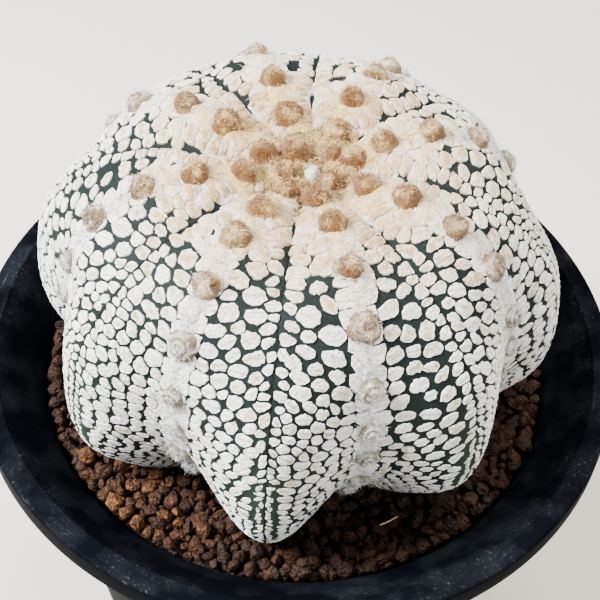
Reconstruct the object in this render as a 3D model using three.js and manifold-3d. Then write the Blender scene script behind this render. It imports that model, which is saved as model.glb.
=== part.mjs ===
// A star cactus in a round black plastic pot filled with brown clay granules.
// Millimetres, +Z up, origin at the centre of the pot's foot.
// Pieces: the pot, the soil, the cactus body with its taproot, and the wool on its areoles.
import * as THREE from 'three';
import { mergeVertices } from 'three/addons/utils/BufferGeometryUtils.js';
import Module from 'manifold-3d';

const wasm = await Module();
wasm.setup();

// Driving dimensions of the pot
const POT_HEIGHT = 105;
const LIP_RADIUS = 65;
const LIP_WIDTH = 5;
const LIP_DEPTH = 5.5;
const FOOT_RADIUS = 43;
const FOOT_WIDTH = 3.6;
const FOOT_RISE = 2.5;
const WALL = 2.4;
const FLARE_Z = 96;
const FLARE_RADIUS = 51.7;
const POT_SIDES = 40;
const DRAIN_HOLES = 6;
const DRAIN_RADIUS = 4.5;
const DRAIN_CIRCLE = 27;

// Driving dimensions of the soil
const SOIL_TOP = 95;
const SOIL_GAP = 0.4;
const GRAIN_HEIGHT = 1.7;
const GRAINS_ROUND = 48;
const GRAIN_RINGS = 4;
const GRAIN_PITCH = 4.8;
const GRAIN_COVER = 0.66;

// The cactus body: radius and height, from the growing tip in the hollow of the crown
// down to the tip of the taproot, first along a row of areoles, then along the crease
// in the middle of a rib. The two outlines pair up point by point.
const ROW_OUTLINE = [
  [0, 150], [9, 152], [19, 154.5], [29, 153], [38.5, 146.5], [42.8, 136], [43.5, 124.5],
  [41, 113], [36.5, 104], [32, 95.5], [27, 86], [14, 72], [0, 45],
];
const CREASE_OUTLINE = [
  [0, 150], [9, 151], [18, 152.5], [29, 151.5], [39, 146.5], [47.5, 137], [50.5, 124.5],
  [50.5, 112], [47.5, 103], [42.5, 95], [34, 86], [15, 72], [0, 45],
];
// Degrees round the plant from the front (-Y) towards +X
const ROW_TURNS = [-26, 19, 63, 110, 153, 198, 242, 289];
const CREASE_TURNS = [-3, 41, 82, 131, 177, 218, 266, 312];
const PLANT_X = -0.9;
const PLANT_Y = -0.4;
// The growing tip sits a little to one side, and the crown leans with it
const CROWN_SHIFT = 2;
const CROWN_REACH = 4;
// Stations between which the raised rows of the crown turn into valleys
const CROWN_ENDS = 3;
const SIDE_STARTS = 5.5;

// The white flecks, raised from the skin in staggered levels between two stations
const FLECK_TOP = 1.75;
const FLECK_BOTTOM = 8.9;
const FLECK_LEVELS = 10;
const FLECK_RISE = 0.75;
const FLECK_COVER = 0.77;
const FLECK_CLEAR = 1.4;
const STAGGER = 0.17;
const WANDER = 0.14;

// The wool: a cap on the crown, a band down each row, and a round areole button in it
const WOOL_GAP = 0.5;
const BAND_HALF = 3.7;
const BAND_CLEAR = 0.6;
const BAND_THICK = 1;
const BAND_EDGE = 0.5;
// Narrowest share of a rib's width that half a band may take, where the ribs meet
const BAND_SHARE = 0.43;
const AREOLE_RADIUS = 2.6;
const AREOLE_TOP = 1.35;
const AREOLE_RISE = 1.7;
const AREOLE_DOME = 0.5;
// Distance of each row's first button from the growing tip
const FIRST_AREOLE = [16, 17.5, 12.5, 15.5, 18, 13, 16.5, 12];
const AREOLE_STEP = 7.2;
const AREOLE_STEP_MORE = 3.2;
const UNDERSIDE_STEP = 5;
// Rings of the cap: distance from the growing tip, thickness, and rise on each row,
// where the youngest buttons crowd
const CAP_RINGS = [[4, 1.5, 0.2], [7.8, 1.2, 1.6], [11.5, 1.2, 0.4], [15.5, 0.5, 0]];
const CAP_COLUMNS = 24;
const CAP_RUFFLE = 0.25;

// Joined solids are smoothed within this, to drop slivers
const SLIVER = 0.08;

const RIBS = ROW_TURNS.length;
const STATIONS = ROW_OUTLINE.length - 1;

// Small helpers

function seeded(seed) {
  let state = seed;
  return () => {
    state = (state * 1664525 + 1013904223) % 4294967296;
    return state / 4294967296;
  };
}

function spread(random, amount) {
  return (random() * 2 - 1) * amount;
}

// Collects the corners and faces of one closed body
class Shell {
  constructor() {
    this.positions = [];
    this.faces = [];
  }

  point(p) {
    this.positions.push(p.x, p.y, p.z);
    return this.positions.length / 3 - 1;
  }

  // A flat or nearly flat face, counter-clockwise as seen from outside
  face(corners) {
    for (let i = 1; i < corners.length - 1; i += 1) {
      this.faces.push(corners[0], corners[i], corners[i + 1]);
    }
  }

  // A fan of faces from a middle point to the corners round it
  fan(middle, corners) {
    corners.forEach((corner, i) => {
      this.face([middle, corner, corners[(i + 1) % corners.length]]);
    });
  }

  // A raised pad on a face: its corners drawn in towards the middle and lifted, and its
  // top flat, or domed where a higher peak is given
  pad(corners, cover, lift, peak) {
    const spots = corners.map((c) => new THREE.Vector3().fromArray(this.positions, c * 3));
    const middle = spots.reduce((sum, s) => sum.add(s), new THREE.Vector3());
    middle.divideScalar(spots.length);
    const top = spots.map((s) => this.point(middle.clone().lerp(s, cover).add(lift)));
    corners.forEach((corner, i) => {
      const next = (i + 1) % corners.length;
      this.face([corner, corners[next], top[next], top[i]]);
    });
    if (peak) {
      this.fan(this.point(middle.clone().add(peak)), top);
    } else {
      this.face(top);
    }
  }

  // Faces between two edges that run the same way, each a list of [distance, corner]
  stitch(lower, upper) {
    let i = 0;
    let j = 0;
    while (i < lower.length - 1 || j < upper.length - 1) {
      const lowerNext = i < lower.length - 1 ? lower[i + 1][0] : Infinity;
      const upperNext = j < upper.length - 1 ? upper[j + 1][0] : Infinity;
      if (lowerNext <= upperNext) {
        this.face([lower[i][1], lower[i + 1][1], upper[j][1]]);
        i += 1;
      } else {
        this.face([lower[i][1], upper[j + 1][1], upper[j][1]]);
        j += 1;
      }
    }
  }

  geometry() {
    const geometry = new THREE.BufferGeometry();
    geometry.setAttribute('position', new THREE.Float32BufferAttribute(this.positions, 3));
    geometry.setIndex(this.faces);
    return geometry;
  }
}

function toSolid(geometry) {
  const bare = geometry.clone();
  bare.deleteAttribute('normal');
  bare.deleteAttribute('uv');
  const merged = mergeVertices(bare, 1e-4);
  const index = Array.from(merged.index.array);
  const triVerts = [];
  for (let i = 0; i < index.length; i += 3) {
    const [a, b, c] = index.slice(i, i + 3);
    if (a !== b && b !== c && c !== a) {
      triVerts.push(a, b, c);
    }
  }
  const vertProperties = new Float32Array(merged.attributes.position.array);
  const mesh = new wasm.Mesh({
    numProp: 3,
    vertProperties,
    triVerts: new Uint32Array(triVerts),
  });
  return new wasm.Manifold(mesh);
}

// The main body of a solid, without loose scraps and pin-head hollows left by joining
function toGeometry(solid) {
  const bodies = solid.simplify(SLIVER).decompose();
  bodies.sort((a, b) => b.volume() - a.volume());
  const mesh = bodies[0].getMesh();
  const geometry = new THREE.BufferGeometry();
  geometry.setAttribute('position', new THREE.BufferAttribute(mesh.vertProperties, 3));
  geometry.setIndex(new THREE.BufferAttribute(mesh.triVerts, 1));
  return geometry;
}

// The ribbed surface of the cactus. A place on it is a rib number, whole on a row of
// areoles and half way between on a crease, and a station down the outlines.

const rowCurve = new THREE.SplineCurve(ROW_OUTLINE.map(([r, z]) => new THREE.Vector2(r, z)));
const creaseCurve = new THREE.SplineCurve(CREASE_OUTLINE.map(([r, z]) => new THREE.Vector2(r, z)));

function turnOf(rib) {
  const turns = ROW_TURNS.flatMap((row, i) => [row, CREASE_TURNS[i]]);
  turns.push(ROW_TURNS[0] + 360);
  const place = THREE.MathUtils.euclideanModulo(rib, RIBS) * 2;
  const i = Math.floor(place);
  return THREE.MathUtils.degToRad(THREE.MathUtils.lerp(turns[i], turns[i + 1], place - i));
}

// 0 on a row, 1 on a crease: near the crown the rows stand up and the creases are sharp
// furrows, lower down the rows lie in round valleys between swelling ribs
function swelling(rib, station) {
  const across = 2 * Math.abs(THREE.MathUtils.euclideanModulo(rib + 0.5, 1) - 0.5);
  const crown = across ** 1.6;
  const side = (1 - Math.cos(Math.PI * across)) / 2;
  return THREE.MathUtils.lerp(crown, side, THREE.MathUtils.smoothstep(station, CROWN_ENDS, SIDE_STARTS));
}

function skinPoint(rib, station) {
  const along = THREE.MathUtils.clamp(station / STATIONS, 0, 1);
  const outline = rowCurve.getPoint(along);
  outline.lerp(creaseCurve.getPoint(along), swelling(rib, station));
  const shift = CROWN_SHIFT * (1 - THREE.MathUtils.smoothstep(station, 0, CROWN_REACH));
  const turn = turnOf(rib);
  return new THREE.Vector3(
    PLANT_X + shift + outline.x * Math.sin(turn),
    PLANT_Y - outline.x * Math.cos(turn),
    outline.y,
  );
}

function skinNormal(rib, station) {
  if (station < 0.1) {
    return new THREE.Vector3(0, 0, 1);
  }
  const step = 0.02;
  const down = skinPoint(rib, station + step).sub(skinPoint(rib, station - step));
  const round = skinPoint(rib + step, station).sub(skinPoint(rib - step, station));
  return down.cross(round).normalize();
}

function lifted(rib, station, lift) {
  return skinPoint(rib, station).addScaledVector(skinNormal(rib, station), lift);
}

// How far a width in millimetres reaches across a rib at a station, in rib numbers
function acrossRib(width, station) {
  const radius = rowCurve.getPoint(station / STATIONS).x;
  return width / ((2 * Math.PI * Math.max(radius, 1)) / RIBS);
}

// The station at a distance in millimetres from the growing tip, along a row
function stationAt(distance) {
  const step = 0.01;
  let walked = 0;
  let station = 0;
  let last = rowCurve.getPoint(0);
  while (walked < distance && station < STATIONS) {
    station += step;
    const next = rowCurve.getPoint(station / STATIONS);
    walked += next.distanceTo(last);
    last = next;
  }
  return station;
}

// The cactus body. Each rib has twelve columns of corners: one on the row, one at each
// edge of the wool band, one on the crease, and four between band and crease.
const COLUMNS = 12;
const CREASE_COLUMN = 6;
const EVEN_JOINTS = [1, 3, 5, 6];
const ODD_JOINTS = [1, 4, 6];
const ROOT_STATIONS = [9.5, 10, 10.7, 11.4];
const ROOT_STRIDE = 3;

function jointsOf(level) {
  return level % 2 === 0 ? EVEN_JOINTS : ODD_JOINTS;
}

// Columns count from a row to the crease, and back down to the next row
function foldedColumn(column) {
  const local = THREE.MathUtils.euclideanModulo(column, COLUMNS);
  return Math.min(local, COLUMNS - local);
}

function ribOfColumn(column, station) {
  const edge = acrossRib(BAND_HALF + BAND_CLEAR, station);
  const local = THREE.MathUtils.euclideanModulo(column, COLUMNS);
  const rib = Math.floor(column / COLUMNS);
  if (local === 0) {
    return rib;
  }
  return rib + edge + ((local - 1) / (COLUMNS - 2)) * (1 - 2 * edge);
}

// A corner's place at the boundary above a level, staggered so that flecks are six-sided
function fleckCorner(column, level, random) {
  const step = (FLECK_BOTTOM - FLECK_TOP) / FLECK_LEVELS;
  const folded = foldedColumn(column);
  const free = folded > 1 && folded < CREASE_COLUMN && level > 0 && level < FLECK_LEVELS;
  const slide = spread(random, WANDER);
  const drift = spread(random, WANDER);
  let station = FLECK_TOP + step * level;
  if (free) {
    const above = jointsOf(level + 1).includes(folded) ? 1 : 0;
    const below = jointsOf(level).includes(folded) ? 1 : 0;
    station += step * (STAGGER * (below - above) + drift);
  }
  const rib = ribOfColumn(column, station) + (free ? slide / COLUMNS : 0);
  return { rib, station };
}

function addCrown(shell, ring, lift) {
  shell.fan(shell.point(lifted(0, 0, lift)), ring);
}

// Below the soil the body narrows to the taproot, with a third of the columns
function addRoot(shell, firstRing, lift) {
  const count = RIBS * COLUMNS;
  let ring = firstRing;
  for (const station of ROOT_STATIONS) {
    const next = [];
    for (let column = 0; column < count; column += ROOT_STRIDE) {
      const rib = ribOfColumn(column, Math.min(station, 10));
      next.push([column, shell.point(lifted(rib, station, lift))]);
    }
    shell.stitch([...next, [count, next[0][1]]], [...ring, [count, ring[0][1]]]);
    ring = next;
  }
  const tip = shell.point(skinPoint(0, STATIONS).add(new THREE.Vector3(0, 0, -lift)));
  shell.fan(tip, ring.map(([, corner]) => corner).reverse());
}

function cactusBody() {
  const random = seeded(31);
  const shell = new Shell();
  const count = RIBS * COLUMNS;
  const places = [];
  const corners = [];
  for (let level = 0; level <= FLECK_LEVELS; level += 1) {
    places.push([]);
    corners.push([]);
    for (let column = 0; column < count; column += 1) {
      const place = fleckCorner(column, level, random);
      places[level].push(place);
      corners[level].push(shell.point(skinPoint(place.rib, place.station)));
    }
  }
  addCrown(shell, corners[0], 0);
  for (let level = 0; level < FLECK_LEVELS; level += 1) {
    const joints = jointsOf(level);
    const back = joints.map((j) => COLUMNS - j).reverse();
    const cuts = [0, ...joints, ...back.slice(1), COLUMNS];
    for (let rib = 0; rib < RIBS; rib += 1) {
      for (let i = 0; i < cuts.length - 1; i += 1) {
        const from = rib * COLUMNS + cuts[i];
        const to = rib * COLUMNS + cuts[i + 1];
        const cell = [];
        for (let column = from; column <= to; column += 1) {
          cell.push(corners[level + 1][column % count]);
        }
        for (let column = to; column >= from; column -= 1) {
          cell.push(corners[level][column % count]);
        }
        const underWool = cuts[i] === 0 || cuts[i + 1] === COLUMNS;
        if (underWool) {
          shell.face(cell);
        } else {
          const middle = places[level][(from + 1) % count];
          const normal = skinNormal(middle.rib, middle.station + 0.3);
          const cover = FLECK_COVER + spread(random, 0.06);
          const rise = FLECK_RISE * (1 + spread(random, 0.2));
          shell.pad(cell, cover, normal.multiplyScalar(rise));
        }
      }
    }
  }
  addRoot(shell, corners[FLECK_LEVELS].map((corner, column) => [column, corner]), 0);
  return shell.geometry();
}

// The hollow that the soil keeps for the body, a little wider where the flecks stand out
function bodyHollow() {
  const shell = new Shell();
  const rings = [FLECK_BOTTOM - 0.8, FLECK_BOTTOM].map((station) => {
    const ring = [];
    for (let column = 0; column < RIBS * COLUMNS; column += ROOT_STRIDE) {
      const rib = ribOfColumn(column, station);
      ring.push([column, shell.point(lifted(rib, station, FLECK_RISE + FLECK_CLEAR))]);
    }
    return ring;
  });
  const [upper, lower] = rings.map((ring) => [...ring, [RIBS * COLUMNS, ring[0][1]]]);
  addCrown(shell, rings[0].map(([, corner]) => corner), FLECK_RISE);
  shell.stitch(lower, upper);
  addRoot(shell, rings[1], SOIL_GAP);
  return toSolid(shell.geometry());
}

// The wool. Each band is one strip down a row, with a round button at each areole.

function areolesOn(row) {
  const distances = [];
  let distance = FIRST_AREOLE[row];
  while (stationAt(distance + AREOLE_RADIUS) < FLECK_BOTTOM - 0.25) {
    distances.push(distance);
    distance += AREOLE_STEP + AREOLE_STEP_MORE * THREE.MathUtils.smoothstep(distance, 10, 40);
  }
  return distances;
}

// The buttons lower down are older and flatter
function buttonRise(distance) {
  return AREOLE_RISE * (1 - 0.45 * THREE.MathUtils.smoothstep(distance, 45, 80));
}

function bandHalf(station) {
  const ribWidth = 1 / acrossRib(1, station);
  return Math.min(BAND_HALF, BAND_SHARE * ribWidth);
}

function bandPoint(row, distance, side, lift) {
  const station = stationAt(distance);
  return lifted(row + acrossRib(side, station), station, lift);
}

function woolBand(row) {
  const shell = new Shell();
  const start = FIRST_AREOLE[row] - AREOLE_RADIUS - 1.5;
  const areoles = areolesOn(row);
  const end = areoles[areoles.length - 1] + AREOLE_RADIUS + 0.8;
  const spots = [-1.5, -0.5, 0.5, 1.5];

  // Outer face: four corners of the grid across each button are drawn into a circle
  const outer = [];
  const plain = (distance) => {
    const half = bandHalf(stationAt(distance));
    const shares = [[-1, BAND_EDGE], [-0.65, BAND_THICK], [-0.25, BAND_THICK]];
    const mirrored = shares.map(([share, lift]) => [-share, lift]).reverse();
    const corners = [...shares, ...mirrored].map(([share, lift]) => (
      shell.point(bandPoint(row, distance, share * half, WOOL_GAP + lift))
    ));
    outer.push([distance, corners]);
  };
  plain(start);
  areoles.forEach((distance) => {
    const rise = buttonRise(distance);
    for (const along of spots) {
      const sides = [];
      const lifts = [];
      const ends = [];
      for (const across of spots) {
        const inner = Math.abs(along) < 1 && Math.abs(across) < 1;
        const reach = inner ? AREOLE_TOP : AREOLE_RADIUS;
        const length = Math.hypot(along, across);
        sides.push((across / length) * reach);
        ends.push((along / length) * reach);
        lifts.push(inner ? BAND_THICK + rise : BAND_THICK);
      }
      const half = Math.max(bandHalf(stationAt(distance)), sides[3] + 0.5);
      const middle = distance + (along / 1.5) * 0.9 * AREOLE_RADIUS;
      const places = sides.map((side, i) => [side, distance + ends[i], lifts[i]]);
      places.unshift([-half, middle, BAND_EDGE]);
      places.push([half, middle, BAND_EDGE]);
      const corners = places.map(([side, at, lift]) => (
        shell.point(bandPoint(row, at, side, WOOL_GAP + lift))
      ));
      outer.push([middle, corners]);
    }
  });
  plain(end);

  // Inner face, close above the skin
  const inner = [];
  const steps = Math.ceil((end - start) / UNDERSIDE_STEP);
  for (let i = 0; i <= steps; i += 1) {
    const distance = THREE.MathUtils.lerp(start, end, i / steps);
    const half = bandHalf(stationAt(distance));
    const inCap = 1 - THREE.MathUtils.smoothstep(distance, 13, 17);
    const corners = [-half, 0, half].map((side) => (
      shell.point(bandPoint(row, distance, side, WOOL_GAP + 0.5 * BAND_EDGE * inCap))
    ));
    inner.push([distance, corners]);
  }

  for (let i = 0; i < outer.length - 1; i += 1) {
    for (let j = 0; j < 5; j += 1) {
      const [here, next] = [outer[i][1], outer[i + 1][1]];
      const face = [here[j], next[j], next[j + 1], here[j + 1]];
      const button = j === 2 && i % 4 === 2 ? areoles[(i - 2) / 4] : undefined;
      if (button === undefined) {
        shell.face(face);
      } else {
        const lift = WOOL_GAP + BAND_THICK + buttonRise(button) + AREOLE_DOME;
        shell.fan(shell.point(bandPoint(row, button, 0, lift)), face);
      }
    }
  }
  for (let i = 0; i < inner.length - 1; i += 1) {
    for (let j = 0; j < 2; j += 1) {
      const [here, next] = [inner[i][1], inner[i + 1][1]];
      shell.face([here[j], here[j + 1], next[j + 1], next[j]]);
    }
  }
  const edge = (list, column) => list.map(([distance, corners]) => [distance, corners[column]]);
  shell.stitch(edge(inner, 0), edge(outer, 0));
  shell.stitch(edge(outer, 5), edge(inner, 2));
  const [first, firstInner] = [outer[0][1], inner[0][1]];
  const [last, lastInner] = [outer[outer.length - 1][1], inner[inner.length - 1][1]];
  shell.face([firstInner[1], firstInner[0], ...first, firstInner[2]]);
  shell.face([lastInner[1], lastInner[2], ...last.slice().reverse(), lastInner[0]]);
  return toSolid(shell.geometry());
}

function woolCap() {
  const random = seeded(7);
  const shell = new Shell();
  const outer = CAP_RINGS.map(([distance, thick, rise], i) => {
    const ruffle = i < CAP_RINGS.length - 1 ? CAP_RUFFLE : 0;
    return capRing(shell, distance, (onRow) => (
      WOOL_GAP + thick + (onRow ? rise : 0) + spread(random, ruffle)
    ));
  });
  const under = capRing(shell, CAP_RINGS[CAP_RINGS.length - 1][0], () => WOOL_GAP);
  const rings = [...outer, under];
  shell.fan(shell.point(lifted(0, 0, WOOL_GAP + CAP_RINGS[0][1])), rings[0]);
  shell.fan(shell.point(lifted(0, 0, WOOL_GAP)), under.slice().reverse());
  for (let i = 0; i < rings.length - 1; i += 1) {
    for (let column = 0; column < CAP_COLUMNS; column += 1) {
      const next = (column + 1) % CAP_COLUMNS;
      shell.face([rings[i][column], rings[i + 1][column], rings[i + 1][next], rings[i][next]]);
    }
  }
  return toSolid(shell.geometry());
}

function capRing(shell, distance, liftOf) {
  const station = stationAt(distance);
  const corners = [];
  for (let column = 0; column < CAP_COLUMNS; column += 1) {
    const rib = (column / CAP_COLUMNS) * RIBS;
    corners.push(shell.point(lifted(rib, station, liftOf(Number.isInteger(rib)))));
  }
  return corners;
}

function areoleWool() {
  let wool = woolCap();
  for (let row = 0; row < RIBS; row += 1) {
    wool = wool.add(woolBand(row));
  }
  return toGeometry(wool);
}

// The soil: angular clay granules over a plain fill that stops short of the pot's wall,
// with a hollow for the buried part of the cactus

function wallRadius(z) {
  const rise = (z - FOOT_RISE - WALL) / (FLARE_Z - FOOT_RISE - WALL);
  return THREE.MathUtils.lerp(FOOT_RADIUS - WALL, FLARE_RADIUS, rise);
}

function grainJoint(column, level) {
  return THREE.MathUtils.euclideanModulo(column + level, 2) === 0;
}

function soil() {
  const random = seeded(12);
  const shell = new Shell();
  const count = GRAINS_ROUND * 2;
  const rim = wallRadius(SOIL_TOP) - SOIL_GAP - 0.1;
  const corners = [];
  for (let level = 0; level <= GRAIN_RINGS; level += 1) {
    corners.push([]);
    for (let column = 0; column < count; column += 1) {
      const free = level > 0 && level < GRAIN_RINGS;
      const stagger = grainJoint(column, level) ? -0.17 : 0.17;
      const shift = free ? stagger + spread(random, 0.2) : 0;
      const radius = rim - GRAIN_PITCH * (level + shift);
      const turn = ((column + (free ? spread(random, 0.45) : 0)) / count) * 2 * Math.PI;
      const height = SOIL_TOP + (free ? spread(random, 0.4) : 0);
      const spot = new THREE.Vector3(Math.cos(turn) * radius, Math.sin(turn) * radius, height);
      corners[level].push(shell.point(spot));
    }
  }
  for (let level = 0; level < GRAIN_RINGS; level += 1) {
    for (let grain = 0; grain < GRAINS_ROUND; grain += 1) {
      const from = grain * 2 + (level % 2);
      const around = [];
      for (let column = from; column <= from + 2; column += 1) {
        around.push(corners[level][column % count]);
      }
      for (let column = from + 2; column >= from; column -= 1) {
        around.push(corners[level + 1][column % count]);
      }
      const cover = GRAIN_COVER + spread(random, 0.08);
      const height = GRAIN_HEIGHT * (0.75 + spread(random, 0.3));
      const lean = new THREE.Vector3(spread(random, 0.4), spread(random, 0.4), height);
      const peak = lean.clone().setZ(height + GRAIN_HEIGHT * 0.3);
      shell.pad(around, cover, lean, peak);
    }
  }

  const floor = FOOT_RISE + WALL + SOIL_GAP;
  const foot = [];
  for (let column = 0; column < count; column += 1) {
    const turn = (column / count) * 2 * Math.PI;
    const radius = wallRadius(floor) - SOIL_GAP - 0.1;
    foot.push(shell.point(new THREE.Vector3(Math.cos(turn) * radius, Math.sin(turn) * radius, floor)));
  }
  const under = shell.point(new THREE.Vector3(0, 0, floor));
  const middle = shell.point(new THREE.Vector3(0, 0, SOIL_TOP));
  const heart = corners[GRAIN_RINGS];
  for (let column = 0; column < count; column += 1) {
    const next = (column + 1) % count;
    shell.face([foot[column], foot[next], corners[0][next], corners[0][column]]);
    shell.face([under, foot[next], foot[column]]);
    shell.face([middle, heart[column], heart[next]]);
  }
  return toGeometry(toSolid(shell.geometry()).subtract(bodyHollow()));
}

// The pot: turned shell with a flared rim, a broad flat lip, a foot ring and drain holes

function potProfile() {
  const floor = FOOT_RISE + WALL;
  const lipInner = LIP_RADIUS - LIP_WIDTH;
  const under = POT_HEIGHT - LIP_DEPTH;
  const flareDrop = POT_HEIGHT - FLARE_Z;
  const inside = new THREE.SplineCurve([
    new THREE.Vector2(lipInner, POT_HEIGHT - 0.6),
    new THREE.Vector2(FLARE_RADIUS + 4.2, POT_HEIGHT - 0.55 * flareDrop),
    new THREE.Vector2(FLARE_RADIUS, FLARE_Z),
  ]);
  const outside = new THREE.SplineCurve([
    new THREE.Vector2(FLARE_RADIUS + WALL, FLARE_Z - 7),
    new THREE.Vector2(FLARE_RADIUS + WALL + 1.6, FLARE_Z - 2.5),
    new THREE.Vector2(LIP_RADIUS - 3, under),
  ]);
  return [
    new THREE.Vector2(0, FOOT_RISE),
    new THREE.Vector2(FOOT_RADIUS - FOOT_WIDTH - 0.8, FOOT_RISE),
    new THREE.Vector2(FOOT_RADIUS - FOOT_WIDTH, 0),
    new THREE.Vector2(FOOT_RADIUS - 0.6, 0),
    new THREE.Vector2(FOOT_RADIUS, 0.8),
    ...outside.getPoints(2),
    new THREE.Vector2(LIP_RADIUS - 0.5, under),
    new THREE.Vector2(LIP_RADIUS, under + 0.5),
    new THREE.Vector2(LIP_RADIUS, POT_HEIGHT - 1),
    new THREE.Vector2(LIP_RADIUS - 0.9, POT_HEIGHT),
    new THREE.Vector2(lipInner + 0.6, POT_HEIGHT),
    ...inside.getPoints(2),
    new THREE.Vector2(FOOT_RADIUS - WALL, floor),
    new THREE.Vector2(0, floor),
  ];
}

function pot() {
  const turned = new THREE.LatheGeometry(potProfile(), POT_SIDES);
  turned.rotateX(Math.PI / 2);
  let body = toSolid(turned);
  const length = FOOT_RISE + WALL * 3;
  for (let i = 0; i < DRAIN_HOLES; i += 1) {
    const turn = (i / DRAIN_HOLES) * 2 * Math.PI;
    const drill = new THREE.CylinderGeometry(DRAIN_RADIUS, DRAIN_RADIUS, length, 12);
    drill.rotateX(Math.PI / 2);
    drill.translate(DRAIN_CIRCLE * Math.cos(turn), DRAIN_CIRCLE * Math.sin(turn), length / 2 - 1);
    body = body.subtract(toSolid(drill));
  }
  return toGeometry(body);
}

// The object

const blackPlastic = new THREE.MeshStandardMaterial({
  color: 0x1f2126, roughness: 0.42, metalness: 0,
});
const bakedClay = new THREE.MeshStandardMaterial({
  color: 0x7b4a2b, roughness: 0.95, metalness: 0,
});
const fleckedSkin = new THREE.MeshStandardMaterial({
  color: 0xb4bdb2, roughness: 0.85, metalness: 0,
});
const creamWool = new THREE.MeshStandardMaterial({
  color: 0xe0d2b8, roughness: 1, metalness: 0,
});

function named(name, geometry, material) {
  const mesh = new THREE.Mesh(geometry, material);
  mesh.name = name;
  return mesh;
}

const plant = new THREE.Group();
plant.add(
  named('pot', pot(), blackPlastic),
  named('soil', soil(), bakedClay),
  named('stem', cactusBody(), fleckedSkin),
  named('areole_wool', areoleWool(), creamWool),
);

export default plant;
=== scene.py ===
import math

import bmesh
import bpy
import numpy as np
from mathutils import Matrix


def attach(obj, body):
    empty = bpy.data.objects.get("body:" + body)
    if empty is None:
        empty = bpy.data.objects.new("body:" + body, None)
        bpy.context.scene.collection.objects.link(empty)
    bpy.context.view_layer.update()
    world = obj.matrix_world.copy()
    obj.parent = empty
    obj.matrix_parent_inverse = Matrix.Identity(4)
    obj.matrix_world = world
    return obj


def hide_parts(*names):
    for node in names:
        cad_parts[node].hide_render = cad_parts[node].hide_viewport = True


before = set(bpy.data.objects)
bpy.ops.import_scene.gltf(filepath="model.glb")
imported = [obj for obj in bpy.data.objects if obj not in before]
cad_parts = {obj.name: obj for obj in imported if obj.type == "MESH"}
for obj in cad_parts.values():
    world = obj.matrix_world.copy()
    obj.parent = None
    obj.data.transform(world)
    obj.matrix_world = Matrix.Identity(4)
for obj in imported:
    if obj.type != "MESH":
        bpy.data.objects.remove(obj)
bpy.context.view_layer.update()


# The pot. A round pot of black polypropylene, injection moulded in one piece: a thin tapered
# wall, a raised floor with six drain holes inside a foot ring, and a broad lip turned out
# over the wall. Lengths are in millimetres all through and become metres as a mesh is made.
POT_COLUMNS = 160
# Radius, height and corner rounding, from the middle of the underside to the middle of the floor
POT_PROFILE = [
    (0, 2.5, 0), (38.9, 2.5, 0.4), (39.4, 0, 0.25), (42.4, 0, 0.3), (43, 0.8, 0.3),
    (54.1, 89, 3), (55.7, 93.5, 2), (62, 99.5, 0.3), (65, 99.5, 0.5), (65, 105, 0.9),
    (60.9, 105, 0.25), (60.6, 104.6, 0.2), (55.9, 100.05, 1.5), (51.7, 96, 1.5),
    (40.6, 4.9, 1), (0, 4.9, 0),
]
DRAIN_HOLES = 6
DRAIN_RADIUS = 4.5
DRAIN_CIRCLE = 27
DRAIN_ROUND = 40
# The middle of the floor's thickness, and a length that goes right through it
DRAIN_HEIGHT = 3.7
DRAIN_LENGTH = 6


def rounded(profile):
    """The profile with each corner turned into a short curve."""
    spots = [np.array(p[:2], float) for p in profile]
    outline = [spots[0]]
    for before, here, after, entry in zip(spots, spots[1:], spots[2:], profile[1:]):
        start = here + (before - here) / np.linalg.norm(before - here) * entry[2]
        end = here + (after - here) / np.linalg.norm(after - here) * entry[2]
        for t in np.linspace(0, 1, 6):
            outline.append(start * (1 - t) ** 2 + here * 2 * t * (1 - t) + end * t ** 2)
    outline.append(spots[-1])
    return outline


def turned(outline, columns):
    """Points and faces of an outline turned round the upright axis, closed at both ends."""
    turns = np.arange(columns) * 2 * math.pi / columns
    points = [(0, 0, outline[0][1])]
    for radius, height in outline[1:-1]:
        points += [(radius * math.cos(t), radius * math.sin(t), height) for t in turns]
    points.append((0, 0, outline[-1][1]))
    faces = []
    last_ring = 1 + (len(outline) - 3) * columns
    for i in range(columns):
        j = (i + 1) % columns
        faces.append((0, 1 + j, 1 + i))
        faces.append((len(points) - 1, last_ring + i, last_ring + j))
        for ring in range(len(outline) - 3):
            low = 1 + ring * columns
            high = low + columns
            faces.append((low + i, low + j, high + j, high + i))
    return np.array(points, float), faces


def make_piece(name, points, faces, material, values=None):
    """A smooth-shaded mesh piece. values are numbers for each point that its material reads."""
    mesh = bpy.data.meshes.new(name)
    mesh.from_pydata((np.asarray(points) * 0.001).tolist(), [], [tuple(f) for f in faces])
    mesh.polygons.foreach_set("use_smooth", [True] * len(mesh.polygons))
    for label, numbers in (values or {}).items():
        layer = mesh.attributes.new(label, "FLOAT", "POINT")
        layer.data.foreach_set("value", np.asarray(numbers, dtype=np.float32))
    mesh.materials.append(material)
    mesh.update()
    piece = bpy.data.objects.new(name, mesh)
    bpy.context.collection.objects.link(piece)
    return piece


def linear(code):
    """An sRGB hex colour as the linear colour that a shader takes."""
    levels = [int(code[i:i + 2], 16) / 255 for i in (1, 3, 5)]
    return [c / 12.92 if c <= 0.04045 else ((c + 0.055) / 1.055) ** 2.4 for c in levels] + [1]


def start_material(name):
    """An empty material and its main shader, wired to the output."""
    material = bpy.data.materials.new(name)
    material.use_nodes = True
    return material, material.node_tree.nodes["Principled BSDF"]


def set_up(material, node, settings=None, links=None):
    """settings are a node's options and socket values, links are the outputs to plug in."""
    for name, value in (settings or {}).items():
        if isinstance(name, str) and hasattr(node, name):
            setattr(node, name, value)
        else:
            node.inputs[name].default_value = value
    for name, output in (links or {}).items():
        material.node_tree.links.new(output, node.inputs[name])


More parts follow.
